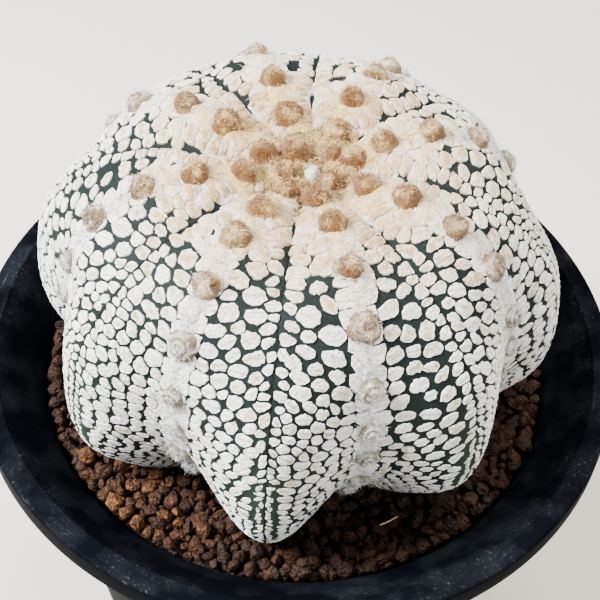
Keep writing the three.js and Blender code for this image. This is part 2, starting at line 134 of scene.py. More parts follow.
def add_node(material, kind, settings=None, links=None):
    """Adds a node with its settings and links."""
    node = material.node_tree.nodes.new(kind)
    set_up(material, node, settings, links)
    return node


# Black polypropylene with a fine moulded grain: a deep blue-black, its soft broad sheen painted
# as a faint pale wash on the faces that look up. Handling leaves hairline scratches round the
# lip, and dust settles on it as pale specks.
pot_plastic, shader = start_material("moulded_black_polypropylene")
place = add_node(pot_plastic, "ShaderNodeTexCoord").outputs["Object"]
split = add_node(pot_plastic, "ShaderNodeSeparateXYZ", links={0: place})
angle = add_node(pot_plastic, "ShaderNodeMath", {"operation": "ARCTAN2"},
                 {0: split.outputs["Y"], 1: split.outputs["X"]})
arc = add_node(pot_plastic, "ShaderNodeMath", {"operation": "MULTIPLY", 1: 0.065},
               {0: angle.outputs[0]})
flat_place = add_node(pot_plastic, "ShaderNodeVectorMath",
                      {"operation": "MULTIPLY", 1: (1, 1, 0)}, {0: place})
reach = add_node(pot_plastic, "ShaderNodeVectorMath", {"operation": "LENGTH"},
                 {0: flat_place.outputs[0]})
# Unrolled round the pot, 65 mm out at its lip: along the rim, out from the middle, and up
unrolled = add_node(pot_plastic, "ShaderNodeCombineXYZ",
                    links={"X": arc.outputs[0], "Y": reach.outputs["Value"],
                           "Z": split.outputs["Z"]})
stretched = add_node(pot_plastic, "ShaderNodeVectorMath",
                     {"operation": "MULTIPLY", 1: (0.1, 1, 1)}, {0: unrolled.outputs[0]})
# Scratches about 0.5 mm apart and 5 mm long
scratch = add_node(pot_plastic, "ShaderNodeTexNoise",
                   {"Scale": 1 / 0.0005, "Detail": 2, "Distortion": 1.2},
                   {"Vector": stretched.outputs[0]})
scratch_mask = add_node(pot_plastic, "ShaderNodeMapRange",
                        {"From Min": 0.65, "From Max": 0.73, "To Max": 0.5},
                        {"Value": scratch.outputs["Fac"]})
# Dust specks of 0.3 to 0.6 mm, gathered in drifts about 8 mm across
specks = add_node(pot_plastic, "ShaderNodeTexNoise",
                  {"Scale": 1 / 0.0006, "Detail": 3}, {"Vector": place})
speck_mask = add_node(pot_plastic, "ShaderNodeMapRange",
                      {"From Min": 0.6, "From Max": 0.72},
                      {"Value": specks.outputs["Fac"]})
drifts = add_node(pot_plastic, "ShaderNodeTexNoise",
                  {"Scale": 1 / 0.008, "Detail": 4}, {"Vector": place})
drift_mask = add_node(pot_plastic, "ShaderNodeMapRange",
                      {"From Min": 0.42, "From Max": 0.66},
                      {"Value": drifts.outputs["Fac"]})
marks = add_node(pot_plastic, "ShaderNodeMath", {"operation": "MAXIMUM"},
                 {0: scratch_mask.outputs[0], 1: speck_mask.outputs[0]})
drifted = add_node(pot_plastic, "ShaderNodeMath", {"operation": "MULTIPLY"},
                   {0: marks.outputs[0], 1: drift_mask.outputs[0]})
lip_mask = add_node(pot_plastic, "ShaderNodeMapRange",
                    {"From Min": 0.055, "From Max": 0.061, "To Min": 0.12},
                    {"Value": reach.outputs["Value"]})
lip_dust = add_node(pot_plastic, "ShaderNodeMath", {"operation": "MULTIPLY"},
                    {0: drifted.outputs[0], 1: lip_mask.outputs[0]})
# Dust only stays on the faces that look up, and the painted sheen is laid on them as well
facing = add_node(pot_plastic, "ShaderNodeNewGeometry").outputs["Normal"]
facing_up = add_node(pot_plastic, "ShaderNodeSeparateXYZ", links={0: facing}).outputs["Z"]
up_mask = add_node(pot_plastic, "ShaderNodeMapRange",
                   {"From Min": 0.2, "From Max": 0.7, "To Min": 0.1},
                   {"Value": facing_up})
dust = add_node(pot_plastic, "ShaderNodeMath", {"operation": "MULTIPLY"},
                {0: lip_dust.outputs[0], 1: up_mask.outputs[0]})
dust_and_sheen_mask = add_node(pot_plastic, "ShaderNodeMath", {"operation": "MULTIPLY"},
                   {0: drift_mask.outputs[0], 1: up_mask.outputs[0]})
# Painted sheen: a faint pale wash over the drifts on the faces that look up, for the plastic's
# soft sheen
painted_sheen = add_node(pot_plastic, "ShaderNodeMath", {"operation": "MULTIPLY", 1: 0.024},
                {0: dust_and_sheen_mask.outputs[0]})
dust_and_painted_sheen = add_node(pot_plastic, "ShaderNodeMath", {"operation": "MULTIPLY_ADD", 1: 0.18},
                     {0: dust.outputs[0], 2: painted_sheen.outputs[0]})
pot_colour = add_node(pot_plastic, "ShaderNodeMix",
                      {"data_type": "RGBA", 6: linear("#05060a"), 7: linear("#757d85")},
                      {0: dust_and_painted_sheen.outputs[0]})
pot_rough = add_node(pot_plastic, "ShaderNodeMapRange",
                     {"To Min": 0.46, "To Max": 0.6},
                     {"Value": dust_and_sheen_mask.outputs[0]})
grain = add_node(pot_plastic, "ShaderNodeTexNoise",
                 {"Scale": 1 / 0.0004, "Detail": 2}, {"Vector": place})
grain_bump = add_node(pot_plastic, "ShaderNodeBump", {"Strength": 0.12, "Distance": 0.0001},
                      {"Height": grain.outputs["Fac"]})
mark_bump = add_node(pot_plastic, "ShaderNodeBump", {"Strength": 0.3, "Distance": 0.0001},
                     {"Height": scratch_mask.outputs[0], "Normal": grain_bump.outputs[0]})
set_up(pot_plastic, shader, {"IOR": 1.49, "Specular IOR Level": 0.004},
       {"Base Color": pot_colour.outputs[2], "Roughness": pot_rough.outputs[0],
        "Normal": mark_bump.outputs[0]})

pot = make_piece("pot_moulding", *turned(rounded(POT_PROFILE), POT_COLUMNS), pot_plastic)
# The drain holes are pins of the mould, taken out of the floor
pins = bmesh.new()
for i in range(DRAIN_HOLES):
    turn = 2 * math.pi * i / DRAIN_HOLES
    middle = Matrix.Translation((0.001 * DRAIN_CIRCLE * math.cos(turn),
                                 0.001 * DRAIN_CIRCLE * math.sin(turn), 0.001 * DRAIN_HEIGHT))
    bmesh.ops.create_cone(pins, cap_ends=True, segments=DRAIN_ROUND,
                          radius1=0.001 * DRAIN_RADIUS, radius2=0.001 * DRAIN_RADIUS,
                          depth=0.001 * DRAIN_LENGTH, matrix=middle)
pin_mesh = bpy.data.meshes.new("drain_pins")
pins.to_mesh(pin_mesh)
pins.free()
pin_object = bpy.data.objects.new("drain_pins", pin_mesh)
bpy.context.collection.objects.link(pin_object)
cut = pot.modifiers.new("drain_holes", "BOOLEAN")
cut.object = pin_object
cut.operation = "DIFFERENCE"
cut.solver = "EXACT"
pot.data = bpy.data.meshes.new_from_object(
    pot.evaluated_get(bpy.context.evaluated_depsgraph_get()))
pot.modifiers.clear()
bpy.data.objects.remove(pin_object)
pot.data.set_sharp_from_angle(angle=math.radians(50))
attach(pot, "root")
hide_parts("pot")


# The fill. Brown baked-clay granules, poured into the pot round the plant. Below the surface it
# is one close mass, with a hollow that follows the buried part of the plant.
# The plant's surface is given here first, because the hollow and the granules keep clear of it.
# Radius and height down from the growing tip to the taproot, along a row of areoles and
# along the crease between two rows. The two outlines pair up, station by station.
ROW_OUTLINE = np.array([
    (0, 150), (9, 152), (19, 154.5), (29, 153), (38.5, 146.5), (42.8, 136), (43.5, 124.5),
    (41, 113), (36.5, 104), (32, 95.5), (27, 86), (14, 72), (0, 45)], float)
CREASE_OUTLINE = np.array([
    (0, 150), (9, 151), (18, 152.5), (29, 151.5), (39, 146.5), (47.5, 137), (50.5, 124.5),
    (50.5, 112), (47.5, 103), (42.5, 95), (34, 86), (15, 72), (0, 45)], float)
# Degrees round the plant from the front towards the right
ROW_TURNS = [-26, 19, 63, 110, 153, 198, 242, 289]
CREASE_TURNS = [-3, 41, 82, 131, 177, 218, 266, 312]
RIBS = len(ROW_TURNS)
PLANT_X = -0.9
PLANT_Y = -0.4
# The growing tip sits a little to the right, and the crown leans with it
CROWN_SHIFT = 2
CROWN_REACH = 2
# How much narrower each rib grows towards its foot, counted from the row in front on the left
FOOT_NARROWING = np.array([0.15, 0.8, 0.4, 0.3, 0.3, 0.3, 0.4, 0.5])
# Share of the way in from the crease to the row that each rib's foot is drawn in
FOOT_DRAWN_IN = np.array([0, 0.36, 0.25, 0.15, 0.15, 0.15, 0.2, 0.26])


def ease(low, high, x):
    """0 below low, 1 above high, smooth between."""
    t = np.clip((x - low) / (high - low), 0, 1)
    return t * t * (3 - 2 * t)


def outline_at(outline, station):
    """The smooth curve through an outline's points, at stations counted from the tip."""
    last = len(outline) - 1
    here = np.clip(station, 0, last)
    i = np.minimum(here.astype(int), last - 1)
    w = (here - i)[..., None]
    before, start = outline[np.maximum(i - 1, 0)], outline[i]
    end, after = outline[i + 1], outline[np.minimum(i + 2, last)]
    a, b = (end - before) / 2, (after - start) / 2
    cubic = 2 * start - 2 * end + a + b
    square = 3 * end - 3 * start - 2 * a - b
    return ((cubic * w + square) * w + a) * w + start


def turn_at(rib):
    """Radians round the plant. Ribs count whole on the rows and half way between on creases."""
    knots = [t for pair in zip(ROW_TURNS, CREASE_TURNS) for t in pair] + [ROW_TURNS[0] + 360]
    return np.radians(np.interp(np.mod(rib, RIBS) * 2, np.arange(2 * RIBS + 1), knots))


def skin(rib, station):
    """Points of the plant's skin. Rows stand up near the crown and lie in valleys below."""
    rib, station = np.broadcast_arrays(np.asarray(rib, float), np.asarray(station, float))
    across = 2 * np.abs(np.mod(rib + 0.5, 1) - 0.5)
    side = ease(3, 5.5, station)
    swelling = across ** 1.6 * (1 - side) + (1 - np.cos(np.pi * across)) / 2 * side
    which = np.mod(np.floor(rib), RIBS).astype(int)
    foot = ease(6.3, 9, station)
    swelling = swelling ** (1 + FOOT_NARROWING[which] * foot) * (1 - FOOT_DRAWN_IN[which] * foot)
    spot = outline_at(ROW_OUTLINE, station) * (1 - swelling[..., None])
    spot = spot + outline_at(CREASE_OUTLINE, station) * swelling[..., None]
    shift = CROWN_SHIFT * (1 - ease(0, CROWN_REACH, station))
    turn = turn_at(rib)
    return np.stack([PLANT_X + shift + spot[..., 0] * np.sin(turn),
                     PLANT_Y - spot[..., 0] * np.cos(turn), spot[..., 1]], -1)


def skin_frame(rib, station):
    """The skin with its directions: per rib, per station, and straight out."""
    step = 0.01
    station = np.maximum(station, 2 * step)
    along_rib = (skin(rib + step, station) - skin(rib - step, station)) / (2 * step)
    down = (skin(rib, station + step) - skin(rib, station - step)) / (2 * step)
    return skin(rib, station), along_rib, down, unit(np.cross(down, along_rib))


def unit(vectors):
    """Vectors at length 1."""
    return vectors / np.linalg.norm(vectors, axis=-1, keepdims=True)


def lumps(points, size, seed):
    """A smooth random field from -1 to 1 at points. size is the width of a lump in mm."""
    table = np.random.default_rng(seed).uniform(-1, 1, 4096)
    scaled = np.asarray(points) / size
    cell = np.floor(scaled).astype(np.int64)
    w = scaled - cell
    w = w * w * (3 - 2 * w)
    total = 0
    for corner in range(8):
        bits = np.array([corner & 1, corner >> 1 & 1, corner >> 2 & 1])
        at = cell + bits
        key = (at[..., 0] * 73856093 ^ at[..., 1] * 19349663 ^ at[..., 2] * 83492791) & 4095
        share = np.prod(np.where(bits, w, 1 - w), axis=-1)
        total = total + table[key] * share
    return total


def lattice_faces(rows, columns, closed=True, start=0):
    """Faces between rows of points. Rows go down the outside and columns go round it."""
    faces = []
    for row in range(rows - 1):
        for column in range(columns if closed else columns - 1):
            following = (column + 1) % columns
            a = start + row * columns
            b = a + columns
            faces.append((a + column, b + column, b + following, a + following))
    return faces


def cap_faces(middle, first, columns, flip=False):
    """Faces that close a ring of points at a middle point."""
    pairs = [(first + i, first + (i + 1) % columns) for i in range(columns)]
    return [(middle, j, i) if flip else (middle, i, j) for i, j in pairs]


FILL_COLUMNS = 256
FILL_FOOT = 5.4
FILL_TOP = 93.6
FILL_GAP = 0.5
POT_WALL_GAP = 0.4
# The pot's wall leans out: its inner radius at its floor and below its flare, at these heights
WALL_RADII = (40.6, 51.7)
WALL_HEIGHTS = (4.9, 96)
# The station where the plant's surface goes into the soil
SOIL_STATION = 9.15
fill_ribs = np.arange(FILL_COLUMNS) * RIBS / FILL_COLUMNS
fill_turns = turn_at(fill_ribs)
fill_rings = []
for height in (FILL_FOOT, 30, 60, FILL_TOP - 1):
    radius = np.interp(height, WALL_HEIGHTS, WALL_RADII) - POT_WALL_GAP
    fill_rings.append(np.stack([radius * np.sin(fill_turns), -radius * np.cos(fill_turns),
                                np.full(FILL_COLUMNS, height)], -1))
rim = fill_rings[-1] + [0, 0, 1]
buried_top, _, _, buried_out = skin_frame(fill_ribs, np.full(FILL_COLUMNS, SOIL_STATION))
hollow_rim = buried_top + buried_out * FILL_GAP
hollow_rim[:, 2] = FILL_TOP
for share in np.linspace(0, 1, 12):
    ring = rim * (1 - share) + hollow_rim * share
    ring[:, 2] += 0.5 * lumps(ring, 2.5, 3)
    fill_rings.append(ring)
for station in (9.6, 10.2, 10.8, 11.3, 11.7):
    spot, _, _, out = skin_frame(fill_ribs, np.full(FILL_COLUMNS, station))
    fill_rings.append(spot + out * FILL_GAP)
fill_points = np.concatenate(fill_rings + [[[0, 0, FILL_FOOT]], [[PLANT_X, PLANT_Y, 44]]])
fill_faces = [f[::-1] for f in lattice_faces(len(fill_rings), FILL_COLUMNS)]
foot_middle = len(fill_rings) * FILL_COLUMNS
fill_faces += cap_faces(foot_middle, 0, FILL_COLUMNS, flip=True)
fill_faces += cap_faces(foot_middle + 1, foot_middle - FILL_COLUMNS, FILL_COLUMNS)

# Crushed baked clay: brown, painted golden brown in front on the left as painted light and dark
# brown elsewhere as painted shade, with porous broken faces whose raised crumbs are painted a
# little lighter than the pits, as painted highlights, and glint a little.
clay, shader = start_material("crushed_baked_clay")
place = add_node(clay, "ShaderNodeTexCoord").outputs["Object"]
shade = add_node(clay, "ShaderNodeAttribute", {"attribute_name": "shade"})
mottle = add_node(clay, "ShaderNodeTexNoise", {"Scale": 1 / 0.0014, "Detail": 4},
                  {"Vector": place})
crumb = add_node(clay, "ShaderNodeTexNoise", {"Scale": 1 / 0.00055, "Detail": 5},
                 {"Vector": place})
mottled = add_node(clay, "ShaderNodeMath", {"operation": "MULTIPLY_ADD", 1: 0.5},
                   {0: mottle.outputs["Fac"], 2: shade.outputs["Fac"]})
# The raised crumbs are painted lighter than the pits, as painted highlights
tone = add_node(clay, "ShaderNodeMath", {"operation": "MULTIPLY_ADD", 1: 0.6},
                {0: crumb.outputs["Fac"], 2: mottled.outputs[0]})
tone_range = add_node(clay, "ShaderNodeMapRange",
                      {"From Min": 0.44, "From Max": 1.15},
                      {"Value": tone.outputs[0]})
clay_ramp = add_node(clay, "ShaderNodeValToRGB", links={"Fac": tone_range.outputs[0]})
clay_ramp.color_ramp.elements[0].color = linear("#120804")
clay_ramp.color_ramp.elements[1].color = linear("#9c6630")
clay_middle = clay_ramp.color_ramp.elements.new(0.5)
clay_middle.color = linear("#361e0e")
pits = add_node(clay, "ShaderNodeTexVoronoi", {"Scale": 1 / 0.0008}, {"Vector": place})
pit_bump = add_node(clay, "ShaderNodeBump", {"Strength": 0.9, "Distance": 0.0004},
                    {"Height": pits.outputs["Distance"]})
crumb_bump = add_node(clay, "ShaderNodeBump", {"Strength": 1.0, "Distance": 0.0006},
                      {"Height": crumb.outputs["Fac"], "Normal": pit_bump.outputs[0]})
set_up(clay, shader, {"Roughness": 0.6, "Specular IOR Level": 0.2},
       {"Base Color": clay_ramp.outputs["Color"], "Normal": crumb_bump.outputs[0]})

# The fill is painted darker than the granules, as painted shade down in the gaps between them
fill = make_piece("granule_fill", fill_points, fill_faces, clay,
                  {"shade": np.full(len(fill_points), -0.25)})
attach(fill, "root")
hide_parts("soil")


# The top granules. Crushed baked clay sieved to between 1.5 and 4 mm, poured on and left loose:
# a close layer on the fill, and a scatter of more granules on top of it.
GRANULE_SHAPES = 22
GRANULE_CORNERS = 14
# Height, spacing, share kept and mean radius
LAYERS = [(94.6, 2.25, 1.0, 1.2), (96.1, 2.55, 0.78, 1.25)]
# The soil's surface inside the pot: its area and its radius
SOIL_AREA = 8300
SOIL_REACH = 51
# Area that one settled granule takes, as a share of its spacing squared
GRANULE_ROOM = 0.87
GRANULE_STEPS = 30
# The granules are heaped up a little against the rib in front on the right
HEAP_HEIGHT = 1.2
HEAP_TURN = math.radians(40)
HEAP_HALF = math.radians(17)
# In front on the left they are painted paler as painted light, and elsewhere darker as painted
# shade
LIT_TURN = math.radians(-38)
LIT_HALF = math.radians(28)
SHADED_TONE = 0.02
LIT_TONE = 0.2


def clear_of_pot_and_plant(spots, sizes):
    """Granules moved out of the pot's wall and out of the plant."""
    # The skin above and below the soil's surface
    near_skin, _, _, near_out = skin_frame(*np.meshgrid(
        np.arange(0, RIBS, 0.07), np.arange(7.6, 10.2, 0.12), indexing="ij"))
    near_skin = near_skin.reshape(-1, 3)
    near_out = near_out.reshape(-1, 3)
    offset = spots[:, None, :] - near_skin[None]
    nearest = np.argmin((offset ** 2).sum(-1), axis=1)
    gap = (offset[np.arange(len(spots)), nearest] * near_out[nearest]).sum(-1)
    push = np.maximum(sizes + 0.7 - gap, 0)
    away = near_out[nearest] * [1, 1, 0]
    away /= np.linalg.norm(away, axis=-1, keepdims=True)
    spots = spots + away * push[:, None]
    reach = np.linalg.norm(spots[:, :2], axis=1)
    wall = WALL_RADII[1] - 0.3 + (spots[:, 2] - WALL_HEIGHTS[1]).clip(-3, 2) * 0.3 - sizes
    spots[:, :2] *= np.minimum(1, wall / reach)[:, None]
    return spots


def spread_granules(height, spacing, share, size, chance):
    """Places and sizes of one layer, first thrown in at random and then settled apart."""
    count = int(SOIL_AREA / (spacing ** 2 * GRANULE_ROOM))
    turns = chance.uniform(0, 2 * math.pi, count)
    reach = SOIL_REACH * np.sqrt(chance.uniform(0.3, 1, count))
    heap = HEAP_HEIGHT * np.exp(-((np.mod(turns, 2 * math.pi) - HEAP_TURN) / HEAP_HALF) ** 2)
    spots = np.stack([reach * np.sin(turns), -reach * np.cos(turns),
                      height + heap + chance.uniform(-0.5, 0.5, count)], -1)
    sizes = size * np.exp(chance.normal(0, 0.27, count)).clip(0.6, 1.6)
    fits = skin_clearance(spots) > 0.5
    spots, sizes = spots[fits], sizes[fits]
    for _ in range(GRANULE_STEPS):
        offset = spots[:, None, :] - spots[None]
        distance = np.linalg.norm(offset, axis=-1) + np.eye(len(spots)) * 99
        want = (sizes[:, None] + sizes[None]) * 0.98
        push = np.maximum(want - distance, 0) / distance
        move = (offset * push[..., None]).sum(1) * 0.35
        spots = spots + move * [1, 1, 0.15]
        spots = clear_of_pot_and_plant(spots, sizes * 0.8)
    keep = lumps(spots, 9, 8) * 0.35 + chance.uniform(0, 1, len(spots)) < share + 0.1
    return spots[keep], sizes[keep]


def skin_clearance(spots):
    """How far spots at the soil's height lie outside the plant."""
    ribs = np.arange(0, RIBS, 0.05)
    edge = skin(ribs, np.full(len(ribs), 9.0))
    edge_turn = np.arctan2(edge[:, 0], -edge[:, 1])
    order = np.argsort(edge_turn)
    reach = np.hypot(edge[:, 0], edge[:, 1])
    at = np.arctan2(spots[:, 0], -spots[:, 1])
    return np.hypot(spots[:, 0], spots[:, 1]) - np.interp(
        at, edge_turn[order], reach[order], period=2 * math.pi)


def crushed_granule(chance):
    """Points and faces of one lump of radius 1: flat broken faces, worn and pitted."""
    lump = bmesh.new()
    for _ in range(GRANULE_CORNERS):
        lump.verts.new(unit(chance.normal(size=3)) * chance.uniform(0.9, 1.06))
    bmesh.ops.convex_hull(lump, input=lump.verts)
    inside = [v for v in lump.verts if not v.link_faces]
    bmesh.ops.delete(lump, geom=inside, context="VERTS")
    bmesh.ops.triangulate(lump, faces=lump.faces)
    bmesh.ops.subdivide_edges(lump, edges=lump.edges, cuts=1, use_grid_fill=True)
    bmesh.ops.triangulate(lump, faces=lump.faces)
    bmesh.ops.recalc_face_normals(lump, faces=lump.faces)
    lump.verts.ensure_lookup_table()
    points = np.array([v.co[:] for v in lump.verts])
    faces = np.array([[v.index for v in f.verts] for f in lump.faces])
    lump.free()
    # The flat faces are worn half way to a ball
    points = points * (0.5 + 0.46 / np.linalg.norm(points, axis=-1, keepdims=True))
    away = chance.uniform(0, 90, 3)
    points = points * (1 + 0.17 * lumps(points + away, 0.62, 21)[:, None])
    return points * (1 + 0.08 * lumps(points + away, 0.33, 22)[:, None]), faces


chance = np.random.default_rng(5)
granule_shapes = [crushed_granule(chance) for _ in range(GRANULE_SHAPES)]
for number, (height, spacing, share, size) in enumerate(LAYERS):
    spots, sizes = spread_granules(height, spacing, share, size, chance)
    points, faces, shades = [], [], []
    for spot, size in zip(spots, sizes):
        shape, shape_faces = granule_shapes[chance.integers(GRANULE_SHAPES)]
        first = unit(chance.normal(size=3))
        second = unit(np.cross(first, chance.normal(size=3)))
        turn = np.array([first, second, np.cross(first, second)])
        stretch = chance.uniform(0.8, 1.25, 3)
        faces.append(shape_faces + sum(len(p) for p in points))
        points.append((shape * stretch * size * 1.06) @ turn + spot)
        # Painted light on the granules in front on the left, painted shade on the rest
        painted_light = math.exp(-((math.atan2(spot[0], -spot[1]) - LIT_TURN) / LIT_HALF) ** 2)
        shade = SHADED_TONE * (1 - painted_light) + LIT_TONE * painted_light
        shades.append(np.full(len(shape), chance.normal(shade, 0.055)))
    granules = make_piece(f"granules_layer_{number + 1}", np.concatenate(points),
                          np.concatenate(faces).tolist(), clay,
                          {"shade": np.concatenate(shades)})
    granules.data.set_sharp_from_angle(angle=math.radians(40))
    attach(granules, "root")


# A dry stalk. One pale splinter of straw, 4 mm long, that has dropped on the granules in front
# and lies across the tops of the highest of them.
STALK_ENDS = np.array([(17.7, -40.9), (21.3, -38.9)])
STALK_RADIUS = 0.17
STALK_ROUND = 8
STALK_STEPS = 9
STALK_BOW = 0.12
# Granules whose tops are nearer than this to its line carry it
NEAR_STALK = 0.35
# The most it rises from one step to the next
STEEPEST = 0.06
granule_tops = np.concatenate([[v.co[:] for v in bpy.data.objects[name].data.vertices]
                               for name in ("granules_layer_1", "granules_layer_2")]) * 1000
stalk_shares = np.linspace(0, 1, STALK_STEPS)
stalk_line = STALK_ENDS[0] + (STALK_ENDS[1] - STALK_ENDS[0]) * stalk_shares[:, None]
beside = np.linalg.norm(granule_tops[None, :, :2] - stalk_line[:, None], axis=-1) < NEAR_STALK
under = np.where(beside, granule_tops[None, :, 2], 0).max(axis=1) + STALK_RADIUS
# A nearly level line from the highest granule under one half to the highest under the other,
# raised until it clears the granules between
low_end = np.argmax(under[:4])
high_end = 5 + np.argmax(under[5:])
slope = (under[high_end] - under[low_end]) / (high_end - low_end)
slope = np.clip(slope, -STEEPEST, STEEPEST)
stalk_heights = under[low_end] + slope * (np.arange(STALK_STEPS) - low_end)
stalk_heights = stalk_heights + max(0, (under - stalk_heights).max())
along = unit(np.append(STALK_ENDS[1] - STALK_ENDS[0], slope * (STALK_STEPS - 1)))
beside_stalk = unit(np.cross(along, [0, 0, 1]))
above_stalk = np.cross(beside_stalk, along)
bow = STALK_BOW * np.sin(math.pi * stalk_shares)
stalk_middles = np.column_stack([stalk_line, stalk_heights]) + beside_stalk * bow[:, None]
thin = STALK_RADIUS * (1 - 0.45 * stalk_shares)
thin[[0, -1]] *= 0.3


def rod(middles, radii, beside, above, sides):
    """Points and faces of a thin rod along a line of middles, closed at both ends."""
    turns = 2 * math.pi * np.arange(sides) / sides
    round_it = np.cos(turns)[:, None] * beside + np.sin(turns)[:, None] * above
    points = (middles[:, None] + radii[:, None, None] * round_it).reshape(-1, 3)
    last = len(points) - 1
    faces = lattice_faces(len(middles), sides)
    return points, faces + [tuple(range(sides)), tuple(range(last, last - sides, -1))]


stalk_points, stalk_faces = rod(stalk_middles, thin, beside_stalk, above_stalk, STALK_ROUND)

# Dry straw: smooth and pale yellow, with a waxy shine and darker lines along it.
straw, shader = start_material("dry_straw")
place = add_node(straw, "ShaderNodeTexCoord").outputs["Object"]
straw_lines = add_node(straw, "ShaderNodeTexNoise", {"Scale": 1 / 0.0003, "Detail": 2},
                       {"Vector": place})
straw_colour = add_node(straw, "ShaderNodeMix",
                        {"data_type": "RGBA", 6: linear("#8f7443"), 7: linear("#e2cf9c")},
                        {0: straw_lines.outputs["Fac"]})
set_up(straw, shader, {"Roughness": 0.4}, {"Base Color": straw_colour.outputs[2]})
stalk = make_piece("dry_stalk", stalk_points, stalk_faces, straw)
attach(stalk, "root")


# The body's skin. One fleshy ribbed stem with a tough waxy skin, grey-green where the white
# flecks leave it bare. A fine sharp furrow runs down the middle of every rib, from the crown
# into the soil, and the stem's foot stands in the hollow of the fill.
SKIN_COLUMNS = 32
FURROW_DEPTH = 0.3
FURROW_HALF = 0.15
rib_steps = np.linspace(-1, 1, SKIN_COLUMNS + 1)[:-1]
# The columns of points stand closest together along the furrows
rib_places = np.sign(rib_steps) * np.abs(rib_steps) ** 1.8 / 2 + 0.5
skin_ribs = (np.arange(RIBS)[:, None] + rib_places[None]).ravel()
skin_stations = np.concatenate([np.linspace(0.03, 9.4, 104), np.linspace(9.7, 11.95, 8)])
grid_station, grid_rib = np.meshgrid(skin_stations, skin_ribs, indexing="ij")
spots, per_rib, _, out = skin_frame(grid_rib, grid_station)
crease_side = np.mod(grid_rib, 1) - 0.5
crease_gap = crease_side * np.linalg.norm(per_rib, axis=-1)
crease_gap = np.abs(crease_gap + 0.3 * lumps(spots * [0.3, 0.3, 1], 3.5, 15))
furrow = np.exp(-(crease_gap / FURROW_HALF) ** 2) * (0.3 + 0.3 * ease(1.8, 3, grid_station)
                                               + 0.3 * ease(4, 7, grid_station))
furrow = furrow * (1 - ease(9.6, 10.4, grid_station))
spots = spots - out * (furrow * FURROW_DEPTH)[..., None]
spots = spots + out * (0.12 * lumps(spots, 5, 14))[..., None]
skin_points = np.concatenate([spots.reshape(-1, 3), skin(0, 0.0)[None], skin(0, 12.0)[None]])
columns = len(skin_ribs)
skin_faces = lattice_faces(len(skin_stations), columns)
crown_point = len(skin_points) - 2
skin_faces += cap_faces(crown_point, 0, columns)
skin_faces += cap_faces(crown_point + 1, crown_point - columns, columns, flip=True)

# Living cactus skin with a dull wax: grey-green, speckled with tiny pores, painted darker down
# in the furrow as painted shade, and olive green along both sides of it towards the soil, where
# it is also painted lighter as painted light on the foot.
cactus_skin, shader = start_material("waxy_cactus_skin")
place = add_node(cactus_skin, "ShaderNodeTexCoord").outputs["Object"]
furrow_shade_value = add_node(cactus_skin, "ShaderNodeAttribute", {"attribute_name": "furrow"})
olive_and_painted_light_value = add_node(cactus_skin, "ShaderNodeAttribute", {"attribute_name": "olive_and_painted_light"})
cloud = add_node(cactus_skin, "ShaderNodeTexNoise", {"Scale": 1 / 0.006, "Detail": 3},
                 {"Vector": place})
green = add_node(cactus_skin, "ShaderNodeMix",
                 {"data_type": "RGBA", 6: linear("#0d1211"), 7: linear("#1b2221")},
                 {0: cloud.outputs["Fac"]})
# Olive green, also painted lighter here as painted light on the shaded foot
olive_and_painted_light = add_node(cactus_skin, "ShaderNodeMix", {"data_type": "RGBA", 7: linear("#394a3a")},
                 {0: olive_and_painted_light_value.outputs["Fac"], 6: green.outputs[2]})
# Painted shade down in the furrow
deep = add_node(cactus_skin, "ShaderNodeMix", {"data_type": "RGBA", 7: linear("#090d0c")},
                {0: furrow_shade_value.outputs["Fac"], 6: olive_and_painted_light.outputs[2]})
# The pores are drawn a third of a millimetre apart, the finest that shows
pores = add_node(cactus_skin, "ShaderNodeTexNoise", {"Scale": 1 / 0.00035, "Detail": 2},
                 {"Vector": place})
pore_mask = add_node(cactus_skin, "ShaderNodeMapRange",
                     {"From Min": 0.55, "From Max": 0.7, "To Max": 0.3},
                     {"Value": pores.outputs["Fac"]})
speckled = add_node(cactus_skin, "ShaderNodeMix",
                    {"data_type": "RGBA", 7: linear("#323d3b")},
                    {0: pore_mask.outputs[0], 6: deep.outputs[2]})
pore_bump = add_node(cactus_skin, "ShaderNodeBump", {"Strength": 0.25, "Distance": 0.0001},
                     {"Height": pores.outputs["Fac"]})
set_up(cactus_skin, shader, {"Roughness": 0.62, "Specular IOR Level": 0.05},
       {"Base Color": speckled.outputs[2], "Normal": pore_bump.outputs[0]})

# Olive along the furrows towards the soil, partly painted light that lifts the shaded foot
olive_and_painted_light_share = ease(4.6, 8.2, grid_station) * np.exp(-(crease_gap / 3.2) ** 2)
body = make_piece("stem_skin", skin_points, skin_faces, cactus_skin,
                  {"furrow": np.append(furrow.ravel(), [0, 0]),
                   "olive_and_painted_light": np.append(olive_and_painted_light_share.ravel(), [0, 0])})
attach(body, "root")
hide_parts("stem")


# The white flecks. Each is a flat tuft of felted white hairs grown on the skin, 4 mm long on the
# shoulder and under 2 mm at the soil. They merge into folds beside the areoles and on the
# crown, and line every furrow: as broad scales at the top, as slivers like barbs below.
FLECK_POINTS = 20
# The stations of the highest and the lowest flecks, and how many places are tried for them
FLECK_TOP = 1.05
FLECK_BOTTOM = 9.2
FLECK_TRIES = 5000
SETTLING_STEPS = 85
# Share of the outline's radius, and height above the skin of a flat fleck and of a fold
FLECK_RINGS = [(1.0, -0.12, -0.12), (0.95, 0.36, 0.3), (0.66, 0.5, 0.72)]
FLECK_MIDDLE = (0.42, 0.8)
# How near a fleck's middle comes to a row of areoles, and its edge to a furrow
BAND_EDGE = 0.9
FURROW_EDGE = 0.12
# Depth of the waves in a fleck's outline, by how many go round it
FRILLS = ((2, 0.06), (3, 0.08), (4, 0.065), (6, 0.06), (8, 0.06), (9, 0.045))
